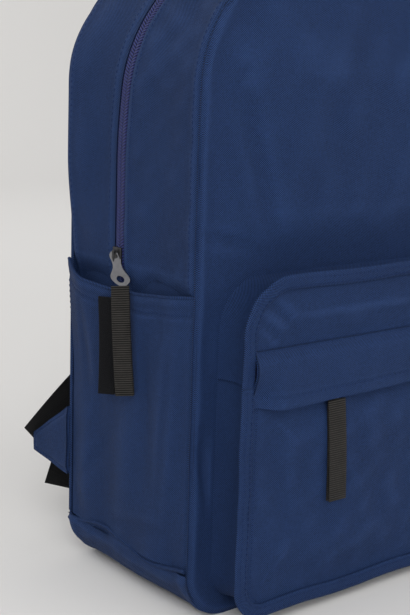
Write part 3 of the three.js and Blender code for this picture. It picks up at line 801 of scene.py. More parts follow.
def rear_profile(s, at):
    """The same from the zip to the back seam, with less sag and a swell over the upper side."""
    far = s * 0.053
    wide = 0.053 - far
    lift = -1.2 * MM * (1 - smooth(far, 0, 3 * MM)) + 0.5 * MM * bump(far, 4 * MM, 3 * MM)
    lift = lift - 1.3 * MM * np.sin(np.pi * s) ** 2
    lift = lift - 1.4 * MM * (1 - smooth(wide, 0, 4 * MM)) + 0.6 * MM * bump(wide, 6 * MM, 3 * MM)
    fullness = 6 * MM * smooth(at[..., 2], 0.22, 0.30) * (1 - smooth(at[..., 2], 0.36, 0.425))
    lift = lift + fullness * smooth(s, 0.1, 0.85)
    return lift + ripple(at * [1, 1, 0.7], 0.05, 15) * 1.3 * MM * np.sin(np.pi * s)


STRIP_LOW = low("rear_gusset").z - 34 * MM
strip_share = np.linspace(0, 1, 40)
front_edge = lambda z: 0 * z + FRONT + 0.6 * MM
back_edge = lambda z: 0 * z + high("rear_gusset").y
zip_front = lambda z: zip_line(z) - 5.2 * MM
zip_rear = lambda z: zip_line(z) + 5.2 * MM
front_points = strip_round(strip_share, front_edge, zip_front, front_profile, STRIP_LOW)
rear_points = strip_round(strip_share[::2], zip_rear, back_edge, rear_profile, STRIP_LOW)
front_gusset = cloth("front_gusset_cloth", front_points, NAVY)
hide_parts("front_strip_left", "front_strip_right", "lid_gusset")
bends_with_lid(front_gusset)
rear_gusset = cloth("rear_gusset_cloth", rear_points, NAVY)
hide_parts("rear_gusset")
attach(rear_gusset, "bag_body")
print("gusset strips of", front_points.shape[0], "rows")

# %% [markdown]
# The zip is a tape with a nylon coil sewn on each edge. The two halves are low in the gap between
# the folded cloth edges. The front half goes with the front gusset, and the rear half stays. Each
# half is a strip whose profile is a flat tape that ends in a round coil beside the centre line.

# %% Main zip
def coil_profile(s):
    """From the tape's hidden edge to the teeth: flat, then half an oval 1.3 mm high."""
    return -2.0 * MM + 1.3 * MM * np.sqrt(np.maximum(1 - ((s - 0.72) / 0.28) ** 2, 0)) * (s > 0.44)


def zip_half(name, side, *nodes):
    """Side -1 is the front half and 1 is the rear half; both meet on the zip line."""
    s = np.linspace(0, 1, 18)
    tape = lambda z: zip_line(z) + side * 7.5 * MM
    teeth = lambda z: zip_line(z) + side * 0.2 * MM
    points = strip_round(s, tape, teeth, lambda share, at: coil_profile(share) + 0 * at[..., 0],
        STRIP_LOW, 2 * MM)
    piece = cloth(name, points, COIL, 0.5 * MM)
    shift_uv(piece, side)
    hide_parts(*nodes)
    return piece


def shift_uv(piece, side):
    """Puts u = 0 on the zip's centre line, so that the slanted loops of the halves mirror."""
    layer = piece.data.uv_layers["UVMap"].data
    flat = np.empty(len(layer) * 2, np.float32)
    layer.foreach_get("uv", flat)
    flat[0::2] = (flat[0::2].max() - flat[0::2]) if side < 0 else flat[0::2]
    layer.foreach_set("uv", flat)


front_coil = zip_half("main_zip_front", -1, "main_zip_front_left", "main_zip_front_right", "lid_zip_half")
bends_with_lid(front_coil)
rear_coil = zip_half("main_zip_rear", 1, "main_zip_rear_half")
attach(rear_coil, "bag_body")

front_rows = []
along_front = grid_normals(front_points)
flip = 1 if ((front_points - CENTRE) * along_front).sum() > 0 else -1
for column in (3, 36):
    front_rows.append(stitch_row(front_points[:, column], flip * along_front[:, column]))
front_thread = sew("front_gusset_stitches", front_rows, THREAD_FINISH)
bends_with_lid(front_thread)
rear_normals = grid_normals(rear_points)
flip = 1 if ((rear_points - CENTRE) * rear_normals).sum() > 0 else -1
rear_rows = [stitch_row(rear_points[:, c], flip * rear_normals[:, c]) for c in (2, 17)]
rear_thread = sew("rear_gusset_stitches", rear_rows, THREAD_FINISH)
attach(rear_thread, "bag_body")
print("coils and", len(front_rows), "rows of stitches beside the front seam and the zip")

# %% [markdown]
# The seams between panels are piped with a narrow rolled edge. Each is a thin round profile carried
# round the outline, half sunk between the two cloths.

# %% Seam piping
def round_profile(radius, count=10):
    a = np.linspace(0, 2 * np.pi, count, endpoint=False)
    return np.stack([radius * np.cos(a), radius * np.sin(a)], axis=-1)


def seam_roll(name, shape, y, start, inset, radius, finish=NAVY):
    """A round profile carried round an outline that lies `inset` inside the given one."""
    half, lowest, highest, r_low, r_high = shape
    inner = (half - inset, lowest, highest - inset, r_low, r_high - inset)
    path, normal = outline_path(inner, 4 * MM, start)
    line = np.stack([path[:, 0], np.full(len(path), y), path[:, 1]], axis=-1)
    out = np.stack([normal[:, 0], 0 * normal[:, 0], normal[:, 1]], axis=-1)
    return carried(name, line, out, round_profile(radius), finish, smooth_path=False)


front_roll = seam_roll("front_seam_roll", BODY, FRONT + 0.8 * MM, 0.036, 2.2 * MM, 0.9 * MM)
bends_with_lid(front_roll)
back_roll = seam_roll("back_seam_roll", BODY, BACK - 2.2 * MM, 0.036, 1.2 * MM, 1.7 * MM)
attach(back_roll, "bag_body")

# %% [markdown]
# Below the zip, the sides are flat panels set in a little, behind the slip pockets. A slip pocket is
# a single cloth sewn down at both edges and at the base seam. Its hem is rolled, stands away from
# the side at the rear, and sags. The cloth bellies out and has soft upright creases where it is
# too wide.

# %% Side panels and slip pockets
SLIP_FRONT, SLIP_BACK = low("side_pocket_left").y, high("side_pocket_left").y
SLIP_LOW = low("side_pocket_left").z


def mouth_height(y):
    """The hem: 221 mm at the front seam, 213 in its lowest part and up to 226 at the rear."""
    places = np.array([SLIP_FRONT, -0.035, -0.007, 0.02, 0.045, 0.06, SLIP_BACK])
    heights = np.array([0.2215, 0.2175, 0.2145, 0.2135, 0.2165, 0.2205, 0.2265])
    return np.interp(y, places, heights)


def slip_pocket(side, sign):
    """x = seam + belly(y, z), z runs from the base seam to the sagging hem."""
    s = np.sin(np.linspace(-1, 1, 84) * math.pi / 2) * 0.5 + 0.5
    y = (SLIP_FRONT + (SLIP_BACK - SLIP_FRONT) * s)[None, :]
    up = np.linspace(0, 1, 110)[:, None]
    z = SLIP_LOW + (mouth_height(y) - SLIP_LOW) * up
    edge = np.minimum(y - SLIP_FRONT, SLIP_BACK - y)
    swell = smooth(edge, 0, 26 * MM) * 4.6 * MM
    swell = swell + 5.6 * MM * smooth(up, 0.55, 1) * bump(y, 0.060, 24 * MM)
    swell = swell - 1.8 * MM * smooth(up, 0.75, 1) * bump(y, -0.02, 30 * MM)
    swell = swell * (0.45 + 0.55 * smooth(z, SLIP_LOW, SLIP_LOW + 30 * MM))
    place = np.stack([0 * z + sign * HALF, y + 0 * z, z], axis=-1)
    seed = 21 if sign < 0 else 31
    swell = swell + ripple(place * [1, 1, 0.28], 0.042, seed) * 2.2 * MM * smooth(edge, 1 * MM, 22 * MM)
    swell = swell + ripple(place, 0.028, seed + 1) * 0.35 * MM * smooth(edge, 0, 12 * MM)
    for a, b, width, depth in SLIP_CREASES:
        ends = [(sign * HALF, *a), (sign * HALF, *b)]
        swell = swell + crease(place, *ends, width, depth)
    hem = (mouth_height(y) - z) / MM
    swell = swell + 0.9 * MM * bump(hem, 3.5, 4) - 0.5 * MM * bump(hem, 12.5, 1.6)
    swell = swell - 0.9 * MM * (1 - smooth(edge, 0, 4 * MM))
    x = sign * (HALF - 0.6 * MM + np.maximum(swell, -0.6 * MM))
    points = np.stack([x, y + 0 * z, z], axis=-1)
    piece = cloth(f"slip_pocket_{side}", points, NAVY, away=CENTRE)
    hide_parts(f"side_pocket_{side}")
    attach(piece, "bag_body")
    normals = grid_normals(points)
    normals = normals * np.sign((normals[..., :1] * sign).mean())
    row = np.argmin(np.abs(hem.mean(axis=1) - 12.5))
    line = [stitch_row(points[row], normals[row]), stitch_row(points[3:row, 2], normals[3:row, 2])]
    line.append(stitch_row(points[3:row, -3], normals[3:row, -3]))
    hem_line = points[-1] + normals[-1] * -0.5 * MM + [0, 0, -0.3 * MM]
    bead = carried(f"slip_hem_{side}", hem_line, normals[-1], strip_profile(2.6 * MM, 2.2 * MM, 1.0),
        NAVY, smooth_path=False)
    thread = sew(f"slip_stitches_{side}", line, THREAD_FINISH)
    for part in (bead, thread):
        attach(part, "bag_body")


def side_cloth(side, sign):
    """The panel behind the slip pocket, with a shallow sag."""
    y = np.linspace(low("side_panel_left").y, high("side_panel_left").y, 30)[None, :]
    z = np.linspace(low("side_panel_left").z, high("side_panel_left").z, 50)[:, None]
    place = np.stack([0 * z + sign * (HALF - SIDE_INSET) + 0 * y, y + 0 * z, z + 0 * y], axis=-1)
    place[..., 0] += sign * ripple(place * [1, 1, 0.5], 0.07, 41) * 0.7 * MM
    piece = cloth(f"side_cloth_{side}", place, NAVY)
    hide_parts(f"side_panel_{side}")
    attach(piece, "bag_body")


SLIP_CREASES = [((-0.048, 0.20), (-0.040, 0.07), 5 * MM, 1.5 * MM),
    ((-0.020, 0.205), (-0.024, 0.10), 6 * MM, 1.4 * MM),
    ((0.030, 0.21), (0.036, 0.09), 7 * MM, 1.7 * MM), ((0.052, 0.215), (0.046, 0.13), 5 * MM, 1.6 * MM),
    ((-0.058, 0.06), (0.03, 0.045), 6 * MM, 1.2 * MM), ((0.062, 0.06), (0.01, 0.12), 6 * MM, 1.3 * MM)]
for side, sign in (("left", -1), ("right", 1)):
    side_cloth(side, sign)
    slip_pocket(side, sign)
print("slip pocket hem from", mouth_height(SLIP_FRONT), "to", mouth_height(SLIP_BACK))

# %% [markdown]
# The base is a trough of cloth with a stiff board inside: flat underneath, round at its two long
# corners, and folded up to the seam below the slip pockets. It is a strip round the lower half of
# the outline, with a roll at its seams and a slack fold above the corner.

# %% Base
def base_path(pitch):
    """Outline points from the seam on the left, round the base, to the seam on the right."""
    down = np.arange(SEAM_Z, BASE_RADIUS, -pitch)
    left = np.stack([np.full_like(down, -HALF), down], axis=-1)
    turns = np.linspace(math.pi, 1.5 * math.pi, 32)
    arc = np.stack([-HALF + BASE_RADIUS + BASE_RADIUS * np.cos(turns),
        BASE_RADIUS + BASE_RADIUS * np.sin(turns)], -1)
    along = np.arange(arc[-1, 0] + pitch, 0, pitch)
    flat = np.stack([along, 0 * along], axis=-1)
    one = np.concatenate([left, arc, flat])
    path = np.concatenate([one, one[::-1] * [-1, 1]])
    ahead = unit(np.gradient(path, axis=0))
    return path, np.stack([ahead[:, 1], -ahead[:, 0]], axis=-1)


path, normal = base_path(3 * MM)
s = np.linspace(0, 1, 60)[None, :]
y = FRONT + 0.6 * MM + (high("base_panel").y - FRONT) * s
at = np.stack([path[:, 0, None] + 0 * y, y + 0 * path[:, :1], path[:, 1, None] + 0 * y], axis=-1)
out = np.stack([normal[:, 0], 0 * normal[:, 0], normal[:, 1]], axis=-1)[:, None]
edge = np.minimum(s, 1 - s) * 0.14
height = at[..., 2]
lift = -1.2 * MM * (1 - smooth(edge, 0, 4 * MM)) + 0.8 * MM * bump(edge, 6 * MM, 4 * MM)
slack = smooth(height, 2 * MM, 12 * MM)
lift = lift + slack * (1.6 * MM * bump(height, 27 * MM, 8 * MM) + ripple(at, 0.045, 51) * 1.3 * MM)
lift = lift + slack * ripple(at * [1, 1, 2], 0.02, 52) * 0.35 * MM
lift = np.where(height < 1.5 * MM, np.minimum(lift, 0), lift)
base_points = at + out * lift[..., None]
base_points[..., 2] = np.maximum(base_points[..., 2], 0)
base_cloth = cloth("base_cloth", base_points, NAVY)
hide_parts("base_panel")
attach(base_cloth, "bag_body")
base_seam = [(-HALF - 0.6 * MM, y, SEAM_Z + 0.4 * MM + 4 * MM * math.sin(60 * y))
    for y in np.linspace(SLIP_FRONT, SLIP_BACK, 24)]
for side, sign in (("left", 1), ("right", -1)):
    line = np.array(base_seam) * [sign, 1, 1]
    roll = carried(f"base_seam_roll_{side}", line, (1, 0, 0), round_profile(1.5 * MM), NAVY)
    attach(roll, "bag_body")
print("base", round(np.ptp(base_points[..., 0]) * 1000), "mm wide")

# %% [markdown]
# The pieces left are many, and most stand for one CAD solid each. A piece takes its body from the
# solid it stands for, so that cannot be given wrongly.

# %% Standing for a solid
BODY_OF = {node: body for body, nodes in frame["record"]["behaviour"]["bodies"].items() for node in nodes}


def stands_for(piece, *nodes):
    """Hides the solids, and rides on the body of the first."""
    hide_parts(*nodes)
    return goes_with(piece, nodes[0])


def goes_with(piece, node):
    """Rides on the same body as a solid."""
    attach(piece, BODY_OF[node])
    return piece


# %% [markdown]
# The front pocket is a box of cloth: a gusset round all sides, a face below the zip, a top panel
# above it, and a storm flap sewn along the top panel's lower edge. Its front edges are sewn as a
# flange, a flat fin with two rows of stitches that stands out past the gusset and puckers at the
# upper corners. The lower gusset would give way when the face tips open; here it is fixed in place
# and does not bend.

# %% Pocket gusset and flange
POCKET = (POCKET_HALF, POCKET_LOW, POCKET_HIGH, *POCKET_RADII)
GUSSET_BACK = FRONT - 0.3 * MM
MOUTH = POCKET_ZIP - 4 * MM


def pocket_ring(upper, pitch=3 * MM):
    """The pocket's outline above the mouth, or below it as the same shape turned upside down."""
    half, lowest, highest, r_low, r_high = POCKET
    if upper:
        return outline_path(POCKET, pitch, MOUTH)
    path, normal = outline_path((half, lowest, highest, r_high, r_low), pitch, lowest + highest - MOUTH)
    return np.stack([path[:, 0], lowest + highest - path[:, 1]], -1), normal * [1, -1]


def pocket_gusset(upper):
    """Between the body and the flange: it sags inwards by 3 mm in its middle and has puckers."""
    path, normal = pocket_ring(upper)
    s = np.linspace(0, 1, 26)[None, :]
    y = GUSSET_BACK + (FACE + 1.4 * MM - GUSSET_BACK) * s
    at = np.stack([path[:, 0, None] + 0 * y, y + 0 * path[:, :1], path[:, 1, None] + 0 * y], axis=-1)
    out = np.stack([normal[:, 0], 0 * normal[:, 0], normal[:, 1]], axis=-1)[:, None]
    sag = -2.6 * MM * np.sin(np.pi * s) + ripple(at, 0.05, 61) * 1.1 * MM * np.sin(np.pi * s)
    pucker = ripple(at, 0.013, 62) * 0.6 * MM * smooth(s, 0.4, 0.9) * smooth(at[..., 2], 0.18, 0.21)
    points = at + out * (sag + pucker)[..., None]
    return cloth(f"pocket_gusset_{'upper' if upper else 'lower'}", points, NAVY,
        away=np.array([0, -0.085, 0.12]))


def flange(upper):
    """A flat fin 10 mm wide and 3.4 mm thick round the face's edge, wavy at the upper corners."""
    path, normal = pocket_ring(upper, 2 * MM)
    at = np.stack([path[:, 0], np.full(len(path), FACE - 0.6 * MM), path[:, 1]], axis=-1)
    out = np.stack([normal[:, 0], 0 * normal[:, 0], normal[:, 1]], axis=-1)
    near_corner = smooth(at[:, 2], 0.195, 0.225) * smooth(np.abs(at[:, 0]), 0.075, 0.105)
    wave = ripple(at, 0.020, 63) * (0.35 + 1.1 * near_corner) * MM
    line = at + out * (-0.2 * MM + ripple(at, 0.05, 64)[:, None] * 0.5 * MM)
    line[:, 1] += wave
    fin = carried(f"pocket_flange_{'upper' if upper else 'lower'}", line, out,
        strip_profile(10 * MM, 3.4 * MM, 0.8), NAVY, smooth_path=False)
    front = np.array([0, -1.0, 0])
    rows = [stitch_row(line + out * offset + front * 1.72 * MM, front) for offset in (-2.8 * MM, 1.6 * MM)]
    thread = sew(f"pocket_flange_stitches_{'upper' if upper else 'lower'}", rows, THREAD_FINISH)
    return fin, thread


stands_for(pocket_gusset(True), "pocket_gusset")
lower_gusset = pocket_gusset(False)
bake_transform(lower_gusset)
for part in flange(True):
    goes_with(part, "pocket_top_panel")
for part in flange(False):
    goes_with(part, "pocket_face")

# %% Pocket face and top panel


def pocket_panel(name, shape, swell, seed, creases=()):
    """A panel that crowns by `swell` in its middle, with soft creases."""
    points = panel(shape, FACE + 0.4 * MM, 90, 2.5 * MM)
    x, z = points[..., 0], points[..., 2]
    deep = edge_distance(x, z, *shape)
    crown = swell * smooth(deep, 2 * MM, 40 * MM)
    soft = ripple(points * [1, 1, 0.6], 0.085, seed) * 2.2 * MM * smooth(deep, 5 * MM, 30 * MM)
    soft = soft + ripple(points, 0.026, seed + 1) * 0.5 * MM * smooth(deep, 2 * MM, 12 * MM)
    for a, b, width, depth in creases:
        soft = soft + crease(points, (a[0], FACE, a[1]), (b[0], FACE, b[1]), width, depth)
    points[..., 1] -= crown + soft
    return stands_for(cloth(name, points, NAVY, away=CENTRE, flat_uv=(0, 2)),
        name.replace("_cloth", "")), points


FACE_SHAPE = (POCKET_HALF - 3 * MM, POCKET_LOW + 3 * MM, high("pocket_face").z, 18 * MM, 0.0)
TOP_SHAPE = (POCKET_HALF - 3 * MM, low("pocket_top_panel").z, POCKET_HIGH - 3 * MM, 0.0, 31 * MM)
face_folds = [((-0.112, 0.15), (-0.085, 0.05), 9 * MM, 1.6 * MM),
    ((-0.02, 0.075), (0.03, 0.04), 10 * MM, 1.2 * MM),
    ((0.10, 0.14), (0.085, 0.05), 9 * MM, 1.5 * MM), ((-0.10, 0.035), (-0.055, 0.03), 7 * MM, 1.2 * MM)]
top_folds = [((-0.112, 0.220), (-0.090, 0.206), 4 * MM, 2.4 * MM),
    ((0.112, 0.220), (0.090, 0.206), 4 * MM, 2.4 * MM),
    ((-0.118, 0.21), (-0.10, 0.196), 3 * MM, 1.6 * MM), ((0.02, 0.22), (-0.04, 0.216), 5 * MM, 1.0 * MM)]
_, face_points = pocket_panel("pocket_face_cloth", FACE_SHAPE, 4.5 * MM, 71, face_folds)
pocket_panel("pocket_top_panel_cloth", TOP_SHAPE, 2.4 * MM, 75, top_folds)
print("pocket face crowns to y =", round(face_points[..., 1].min() * 1000, 1), "mm")

# %% Pocket zip


def pocket_coil(name, z_tape, z_teeth):
    """The same tape and coil profile as the main zip's, laid along X."""
    x = np.linspace(-POCKET_HALF + 4 * MM, POCKET_HALF - 4 * MM, 120)[:, None]
    s = np.linspace(0, 1, 18)[None, :]
    lift = coil_profile(s) + 0.9 * MM
    z = z_tape + (z_teeth - z_tape) * s
    points = np.stack([x + 0 * s, FACE - lift + 0 * x, z + 0 * x], axis=-1)
    piece = cloth(name, points, COIL, 0.5 * MM)
    shift_uv(piece, -1)
    return stands_for(piece, name.replace("coil", "zip"))


pocket_coil("pocket_coil_upper", high("pocket_zip_upper").z, POCKET_ZIP + 0.2 * MM)
pocket_coil("pocket_coil_lower", low("pocket_zip_lower").z - 1 * MM, POCKET_ZIP - 0.2 * MM)

# %% [markdown]
# The storm flap is a doubled strip of cloth. It leaves its stitch line flat, steps forward over the
# zip, and hangs with a slight wave. Its lower hem stands out a little, with a shallow groove above it.

# %% Storm flap
def storm_flap():
    """A profile (depth, height) carried along X: its wave grows towards the free edge, and its ends
    turn back towards the pocket."""
    drop = np.array([(FACE - 2.5 * MM, STITCH_Z + 0.4 * MM), (FACE - 3.2 * MM, STITCH_Z - 3 * MM),
        (FACE - 6.2 * MM, STITCH_Z - 9 * MM), (FACE - 7.8 * MM, STITCH_Z - 20 * MM),
        (FACE - 7.4 * MM, FLAP_Z - 1 * MM)])
    line = resample(drop, 1.3 * MM)
    half = high("pocket_flap").x + 4 * MM
    x = np.linspace(-half, half, 150)[:, None]
    t = np.linspace(0, 1, len(line))[None, :]
    y = line[None, :, 0] + 0 * x
    z = line[None, :, 1] + 0 * x
    at = np.stack([x + 0 * t, y, z], axis=-1)
    free = smooth(t, 0.15, 1)
    to_end = smooth(half - np.abs(x), 0, 22 * MM)
    y = y + (1 - to_end) * 6.4 * MM * free
    y = y - ripple(at * [1, 1, 0.4], 0.08, 81) * 1.1 * MM * free - ripple(at, 0.03, 82) * 0.3 * MM
    z = z + (1 - to_end) * 3 * MM * free ** 2 + 1.6 * MM * free * np.sin(9 * x)
    hem = (1 - t) * np.ptp(line[:, 1]) / MM
    y = y - 0.7 * MM * bump(hem, 3, 3.5) + 0.35 * MM * bump(hem, 8.5, 1.2)
    return np.stack([x + 0 * t, y, z], axis=-1)


flap_points = storm_flap()


def bends_from_stitches(piece):
    """Bakes the piece's transform into its points; it does not bend to the flap's body."""
    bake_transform(piece)


flap_cloth = cloth("storm_flap_cloth", flap_points, NAVY, 2.0 * MM, flat_uv=(0, 2))
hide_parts("pocket_flap")
bends_from_stitches(flap_cloth)
forward = np.array([0, -1.0, 0])
flap_rows = [stitch_row(flap_points[:, 1], forward)]
flap_rows.append(stitch_row(flap_points[:, -7], forward))
bends_from_stitches(sew("storm_flap_stitches", flap_rows, THREAD_FINISH))
face_rows = [stitch_row(face_points[4:-2, c], forward) for c in (4, -5)]
goes_with(sew("pocket_face_stitches", face_rows, THREAD_FINISH), "pocket_face")
print("flap hangs to z =", round(flap_points[..., 2].min() * 1000), "mm")

# %% [markdown]
# Sliders, pullers and ladder locks have the right shape as solids, but their edges are sharp. A copy
# has its loose triangles merged and gets a Bevel modifier, so that its edges catch the light as
# pressed or moulded ones do.

# %% Hard pieces with soft edges
def softened(node, name, finish, width, segments=2):
    """A merged copy of a solid with its sharp edges bevelled."""
    mesh = frame["nodes"][node].data.copy()
    shape = bmesh.new()
    shape.from_mesh(mesh)
    bmesh.ops.transform(shape, matrix=frame["nodes"][node].matrix_world, verts=shape.verts)
    bmesh.ops.remove_doubles(shape, verts=shape.verts, dist=0.01 * MM)
    bmesh.ops.dissolve_limit(shape, angle_limit=0.02, verts=shape.verts, edges=shape.edges)
    bmesh.ops.recalc_face_normals(shape, faces=shape.faces)
    shape.to_mesh(mesh)
    shape.free()
    mesh.name = name
    mesh.materials.clear()
    mesh.materials.append(finish)
    piece = bpy.data.objects.new(name, mesh)
    bpy.context.scene.collection.objects.link(piece)
    bevel = piece.modifiers.new("soft edges", "BEVEL")
    bevel.width, bevel.segments, bevel.limit_method = width, segments, "ANGLE"
    bevel.angle_limit = math.radians(28)
    bevel.use_clamp_overlap = True
    mesh.shade_smooth()
    mesh.set_sharp_from_angle(angle=math.radians(40))
    return stands_for(piece, node)


softened("main_slider", "main_slider_body", BLACK_METAL, 0.35 * MM)
softened("pocket_slider", "pocket_slider_body", BLACK_METAL, 0.35 * MM)
softened("pocket_puller", "pocket_puller_plate", GUNMETAL, 0.3 * MM)
for side in ("left", "right"):
    softened(f"ladder_lock_{side}", f"ladder_lock_body_{side}", PLASTIC, 0.5 * MM, 3)

# %% [markdown]
# The main puller hangs turned towards the front left, so that its broad face shows. It is a pressed
# plate: a small eye on the slider's bridge, a narrow neck and a wide lower end with a round hole. A
# grid has no holes, so this one is a flat curve, filled and given its thickness, then made a mesh.

# %% Main puller
def oval_points(centre, half_wide, half_tall, count=28):
    a = np.linspace(0, 2 * np.pi, count, endpoint=False)
    return np.stack([half_wide * np.cos(a), centre + half_tall * np.sin(a)], axis=-1)


def plate_outline(count=72):
    """Half width along the plate: an eye, a neck and a wide end, each a hump over a base width."""
    t = np.linspace(0, np.pi, count // 2)
    down = -10.5 + 12.5 * np.cos(t)
    taper_in = np.sqrt(np.sin(t).clip(0))
    half = taper_in * (2.8 + 1.8 * bump(down, -1.0, 3.6) + 4.6 * bump(down, -18.0, 5.6))
    one = np.stack([half, down], axis=-1)
    return np.concatenate([one, one[-2:0:-1] * [-1, 1]]) * MM


def flat_plate(name, rings, thick, finish):
    """A filled 2-D curve with holes, as a mesh centred on its own plane."""
    curve = bpy.data.curves.new(name, "CURVE")
    curve.dimensions, curve.fill_mode = "2D", "BOTH"
    curve.extrude, curve.bevel_depth, curve.bevel_resolution = thick / 2 - 0.2 * MM, 0.2 * MM, 2
    for ring in rings:
        spline = curve.splines.new("POLY")
        spline.points.add(len(ring) - 1)
        spline.points.foreach_set("co", np.pad(ring, ((0, 0), (0, 2))).reshape(-1))
        spline.use_cyclic_u = True
    draft = bpy.data.objects.new(name + "_draft", curve)
    bpy.context.scene.collection.objects.link(draft)
    mesh = bpy.data.meshes.new_from_object(draft.evaluated_get(bpy.context.evaluated_depsgraph_get()))
    bpy.data.objects.remove(draft)
    mesh.name = name
    mesh.materials.clear()
    mesh.materials.append(finish)
    return mesh


PULLER_WIDE = unit(np.array([0.55, -0.83, 0.0]))
PULLER_DOWN = unit(np.array([-0.07, -0.52, -0.85]))
hinge_at = [joint for joint in frame["joints"] if joint["name"] == "main_puller_hinge"][0]["pos_m"]
PULLER_TOP = np.array(hinge_at) - PULLER_DOWN * 1.2 * MM
plate_rings = [plate_outline(), oval_points(-1.2, 2.2, 2.0) * MM, oval_points(-18.2, 3.0, 2.6) * MM]
plate = flat_plate("main_puller_plate", plate_rings, 1.3 * MM, GUNMETAL)
flat_points = read_points(plate)
PULLER_FACE = unit(np.cross(PULLER_WIDE, PULLER_DOWN))
placed = PULLER_TOP + flat_points[:, :1] * PULLER_WIDE - flat_points[:, 1:2] * PULLER_DOWN
placed = placed + flat_points[:, 2:] * PULLER_FACE
plate.vertices.foreach_set("co", placed.reshape(-1).astype(np.float32))
plate_piece = bpy.data.objects.new("main_puller_plate", plate)
bpy.context.scene.collection.objects.link(plate_piece)
fix_outward(plate_piece)
plate.shade_smooth()
plate.set_sharp_from_angle(angle=math.radians(50))
stands_for(plate_piece, "main_puller")
print("puller from", placed.max(0).round(4), "to", placed.min(0).round(4))

# %% [markdown]
# Two pulls hang from the main puller: a ribbed one in front, and behind it a smooth woven one whose
# woven mark is left blank. Each is a folded tape: two layers that part a little towards the bottom,
# with ends cut straight. A ribbed tape of two layers also hangs from the pocket's puller.

# %% Pulls


def folded_pull(name, top, bottom, across, width, finish, part, wave):
    """Two tapes from the same top: path = straight line + a little bow, parted by `part` at the end."""
    top, bottom, across = (np.array(v, float) for v in (top, bottom, across))
    t = np.linspace(0, 1, 14)[:, None]
    facing = unit(np.cross(bottom - top, across))
    bow = facing * np.sin(np.pi * t) * wave
    outer = top + (bottom - top) * t + bow + facing * part / 2 * t
    inner = top + (bottom - top) * t + bow - facing * (part / 2 * t + 0.9 * MM * smooth(t, 0, 0.1))
    profile = strip_profile(width, 0.85 * MM, 0.35)
    return [carried(f"{name}_{k}", line, across, profile, finish, 1 * MM)
        for k, line in ((1, outer), (2, inner))]


ribbed_pull = folded_pull("main_pull_ribbed", (-0.1550, 0.0015, 0.2185), (-0.1570, -0.0090, 0.1455),
    (0.66, -0.75, 0), 12.5 * MM, WEBBING, 2.0 * MM, 2.2 * MM)
woven_pull = folded_pull("main_pull_woven", (-0.1560, 0.0160, 0.2085), (-0.1578, 0.0110, 0.1420),
    (0.45, -0.87, -0.28), 12.5 * MM, LABEL, 1.6 * MM, -1.6 * MM)
for part in ribbed_pull:
    stands_for(part, "main_pull_webbing")
for part in woven_pull:
    stands_for(part, "main_pull_label")
pocket_pull = folded_pull("pocket_pull_ribbed", (-0.0525, FACE - 5.4 * MM, 0.1500),
    (-0.0495, FACE - 7.2 * MM, 0.0795),
    (1, -0.12, 0), 14.5 * MM, WEBBING, 1.8 * MM, 1.0 * MM)
for part in pocket_pull:
    stands_for(part, "pocket_pull_webbing")
print("pulls:", len(ribbed_pull) + len(woven_pull) + len(pocket_pull), "tapes")

# %% [markdown]
# A shoulder strap is foam in a cloth sleeve. It is a padded piece, so it starts from a slightly
# smaller flat oval carried along the strap's curve. Its voxel remesh gives even faces, and cloth
# simulation with inside pressure swells it between its sewn edges. The left strap is the right
# one's mirror image. The bindings and the stitches come after, because the remesh erases them.

# %% The strap's own directions
STRAP_TOP = np.array([0.050, 0.100, 0.361])
PAD_FOOT = np.array([0.078, 0.120, 0.120])
STRAP_UP = unit(STRAP_TOP - PAD_FOOT)
STRAP_ACROSS = unit(np.array([1.0, 0, 0]) - STRAP_UP[0] * STRAP_UP)
STRAP_OUT = np.cross(STRAP_UP, STRAP_ACROSS)
LOCK_PLACE = (13 * MM, -186 * MM)
PAD_LINE = np.array([(3, -10), (7, -22), (10, -34), (14.5, -62), (17, -90), (18, -115), (17, -140),
    (15, -168),
    (14, -179)]) * MM


def on_strap(points):
    """(depth, height) pairs in the strap's own frame to places on the right-hand strap."""
    points = np.array(points, float)
    return STRAP_TOP + points[:, :1] * STRAP_OUT + points[:, 1:] * STRAP_UP


def mirrored(points):
    return points * [-1, 1, 1]


# %% Padded straps by simulation
def swell_by_simulation(piece, voxel, cap, pressure=4.0, last=20):
    """Remesh, inflate with Cloth for 20 frames, and move no point further than the cap."""
    remesh = piece.modifiers.new("even faces", "REMESH")
    remesh.mode, remesh.voxel_size = "VOXEL", voxel
    apply_all(piece)
    rest = read_points(piece.data)
    sim = piece.modifiers.new("swell", "CLOTH")
    sim.settings.use_pressure = True
    sim.settings.uniform_pressure_force = pressure
    sim.settings.effector_weights.gravity = 0
    sim.settings.quality = 5
    sim.collision_settings.use_collision = False
    sim.point_cache.frame_start, sim.point_cache.frame_end = 1, last
    for number in range(1, last + 1):
        bpy.context.scene.frame_set(number)
    swollen = piece.evaluated_get(bpy.context.evaluated_depsgraph_get())
    moved = read_points(swollen.data) - rest
    piece.modifiers.clear()
    bpy.context.scene.frame_set(1)
    far = np.linalg.norm(moved, axis=1, keepdims=True)
    rest = rest + moved * np.minimum(1, cap / np.maximum(far, 1e-9))
    print(piece.name, "swelled by up to", round(float(np.minimum(far, cap).max()) * 1000, 1), "mm")
    return rest


def apply_all(piece):
    """Replaces the mesh with its own result, modifiers included."""
    graph = bpy.context.evaluated_depsgraph_get()
    fresh = bpy.data.meshes.new_from_object(piece.evaluated_get(graph))
    piece.modifiers.clear()
    piece.data = fresh


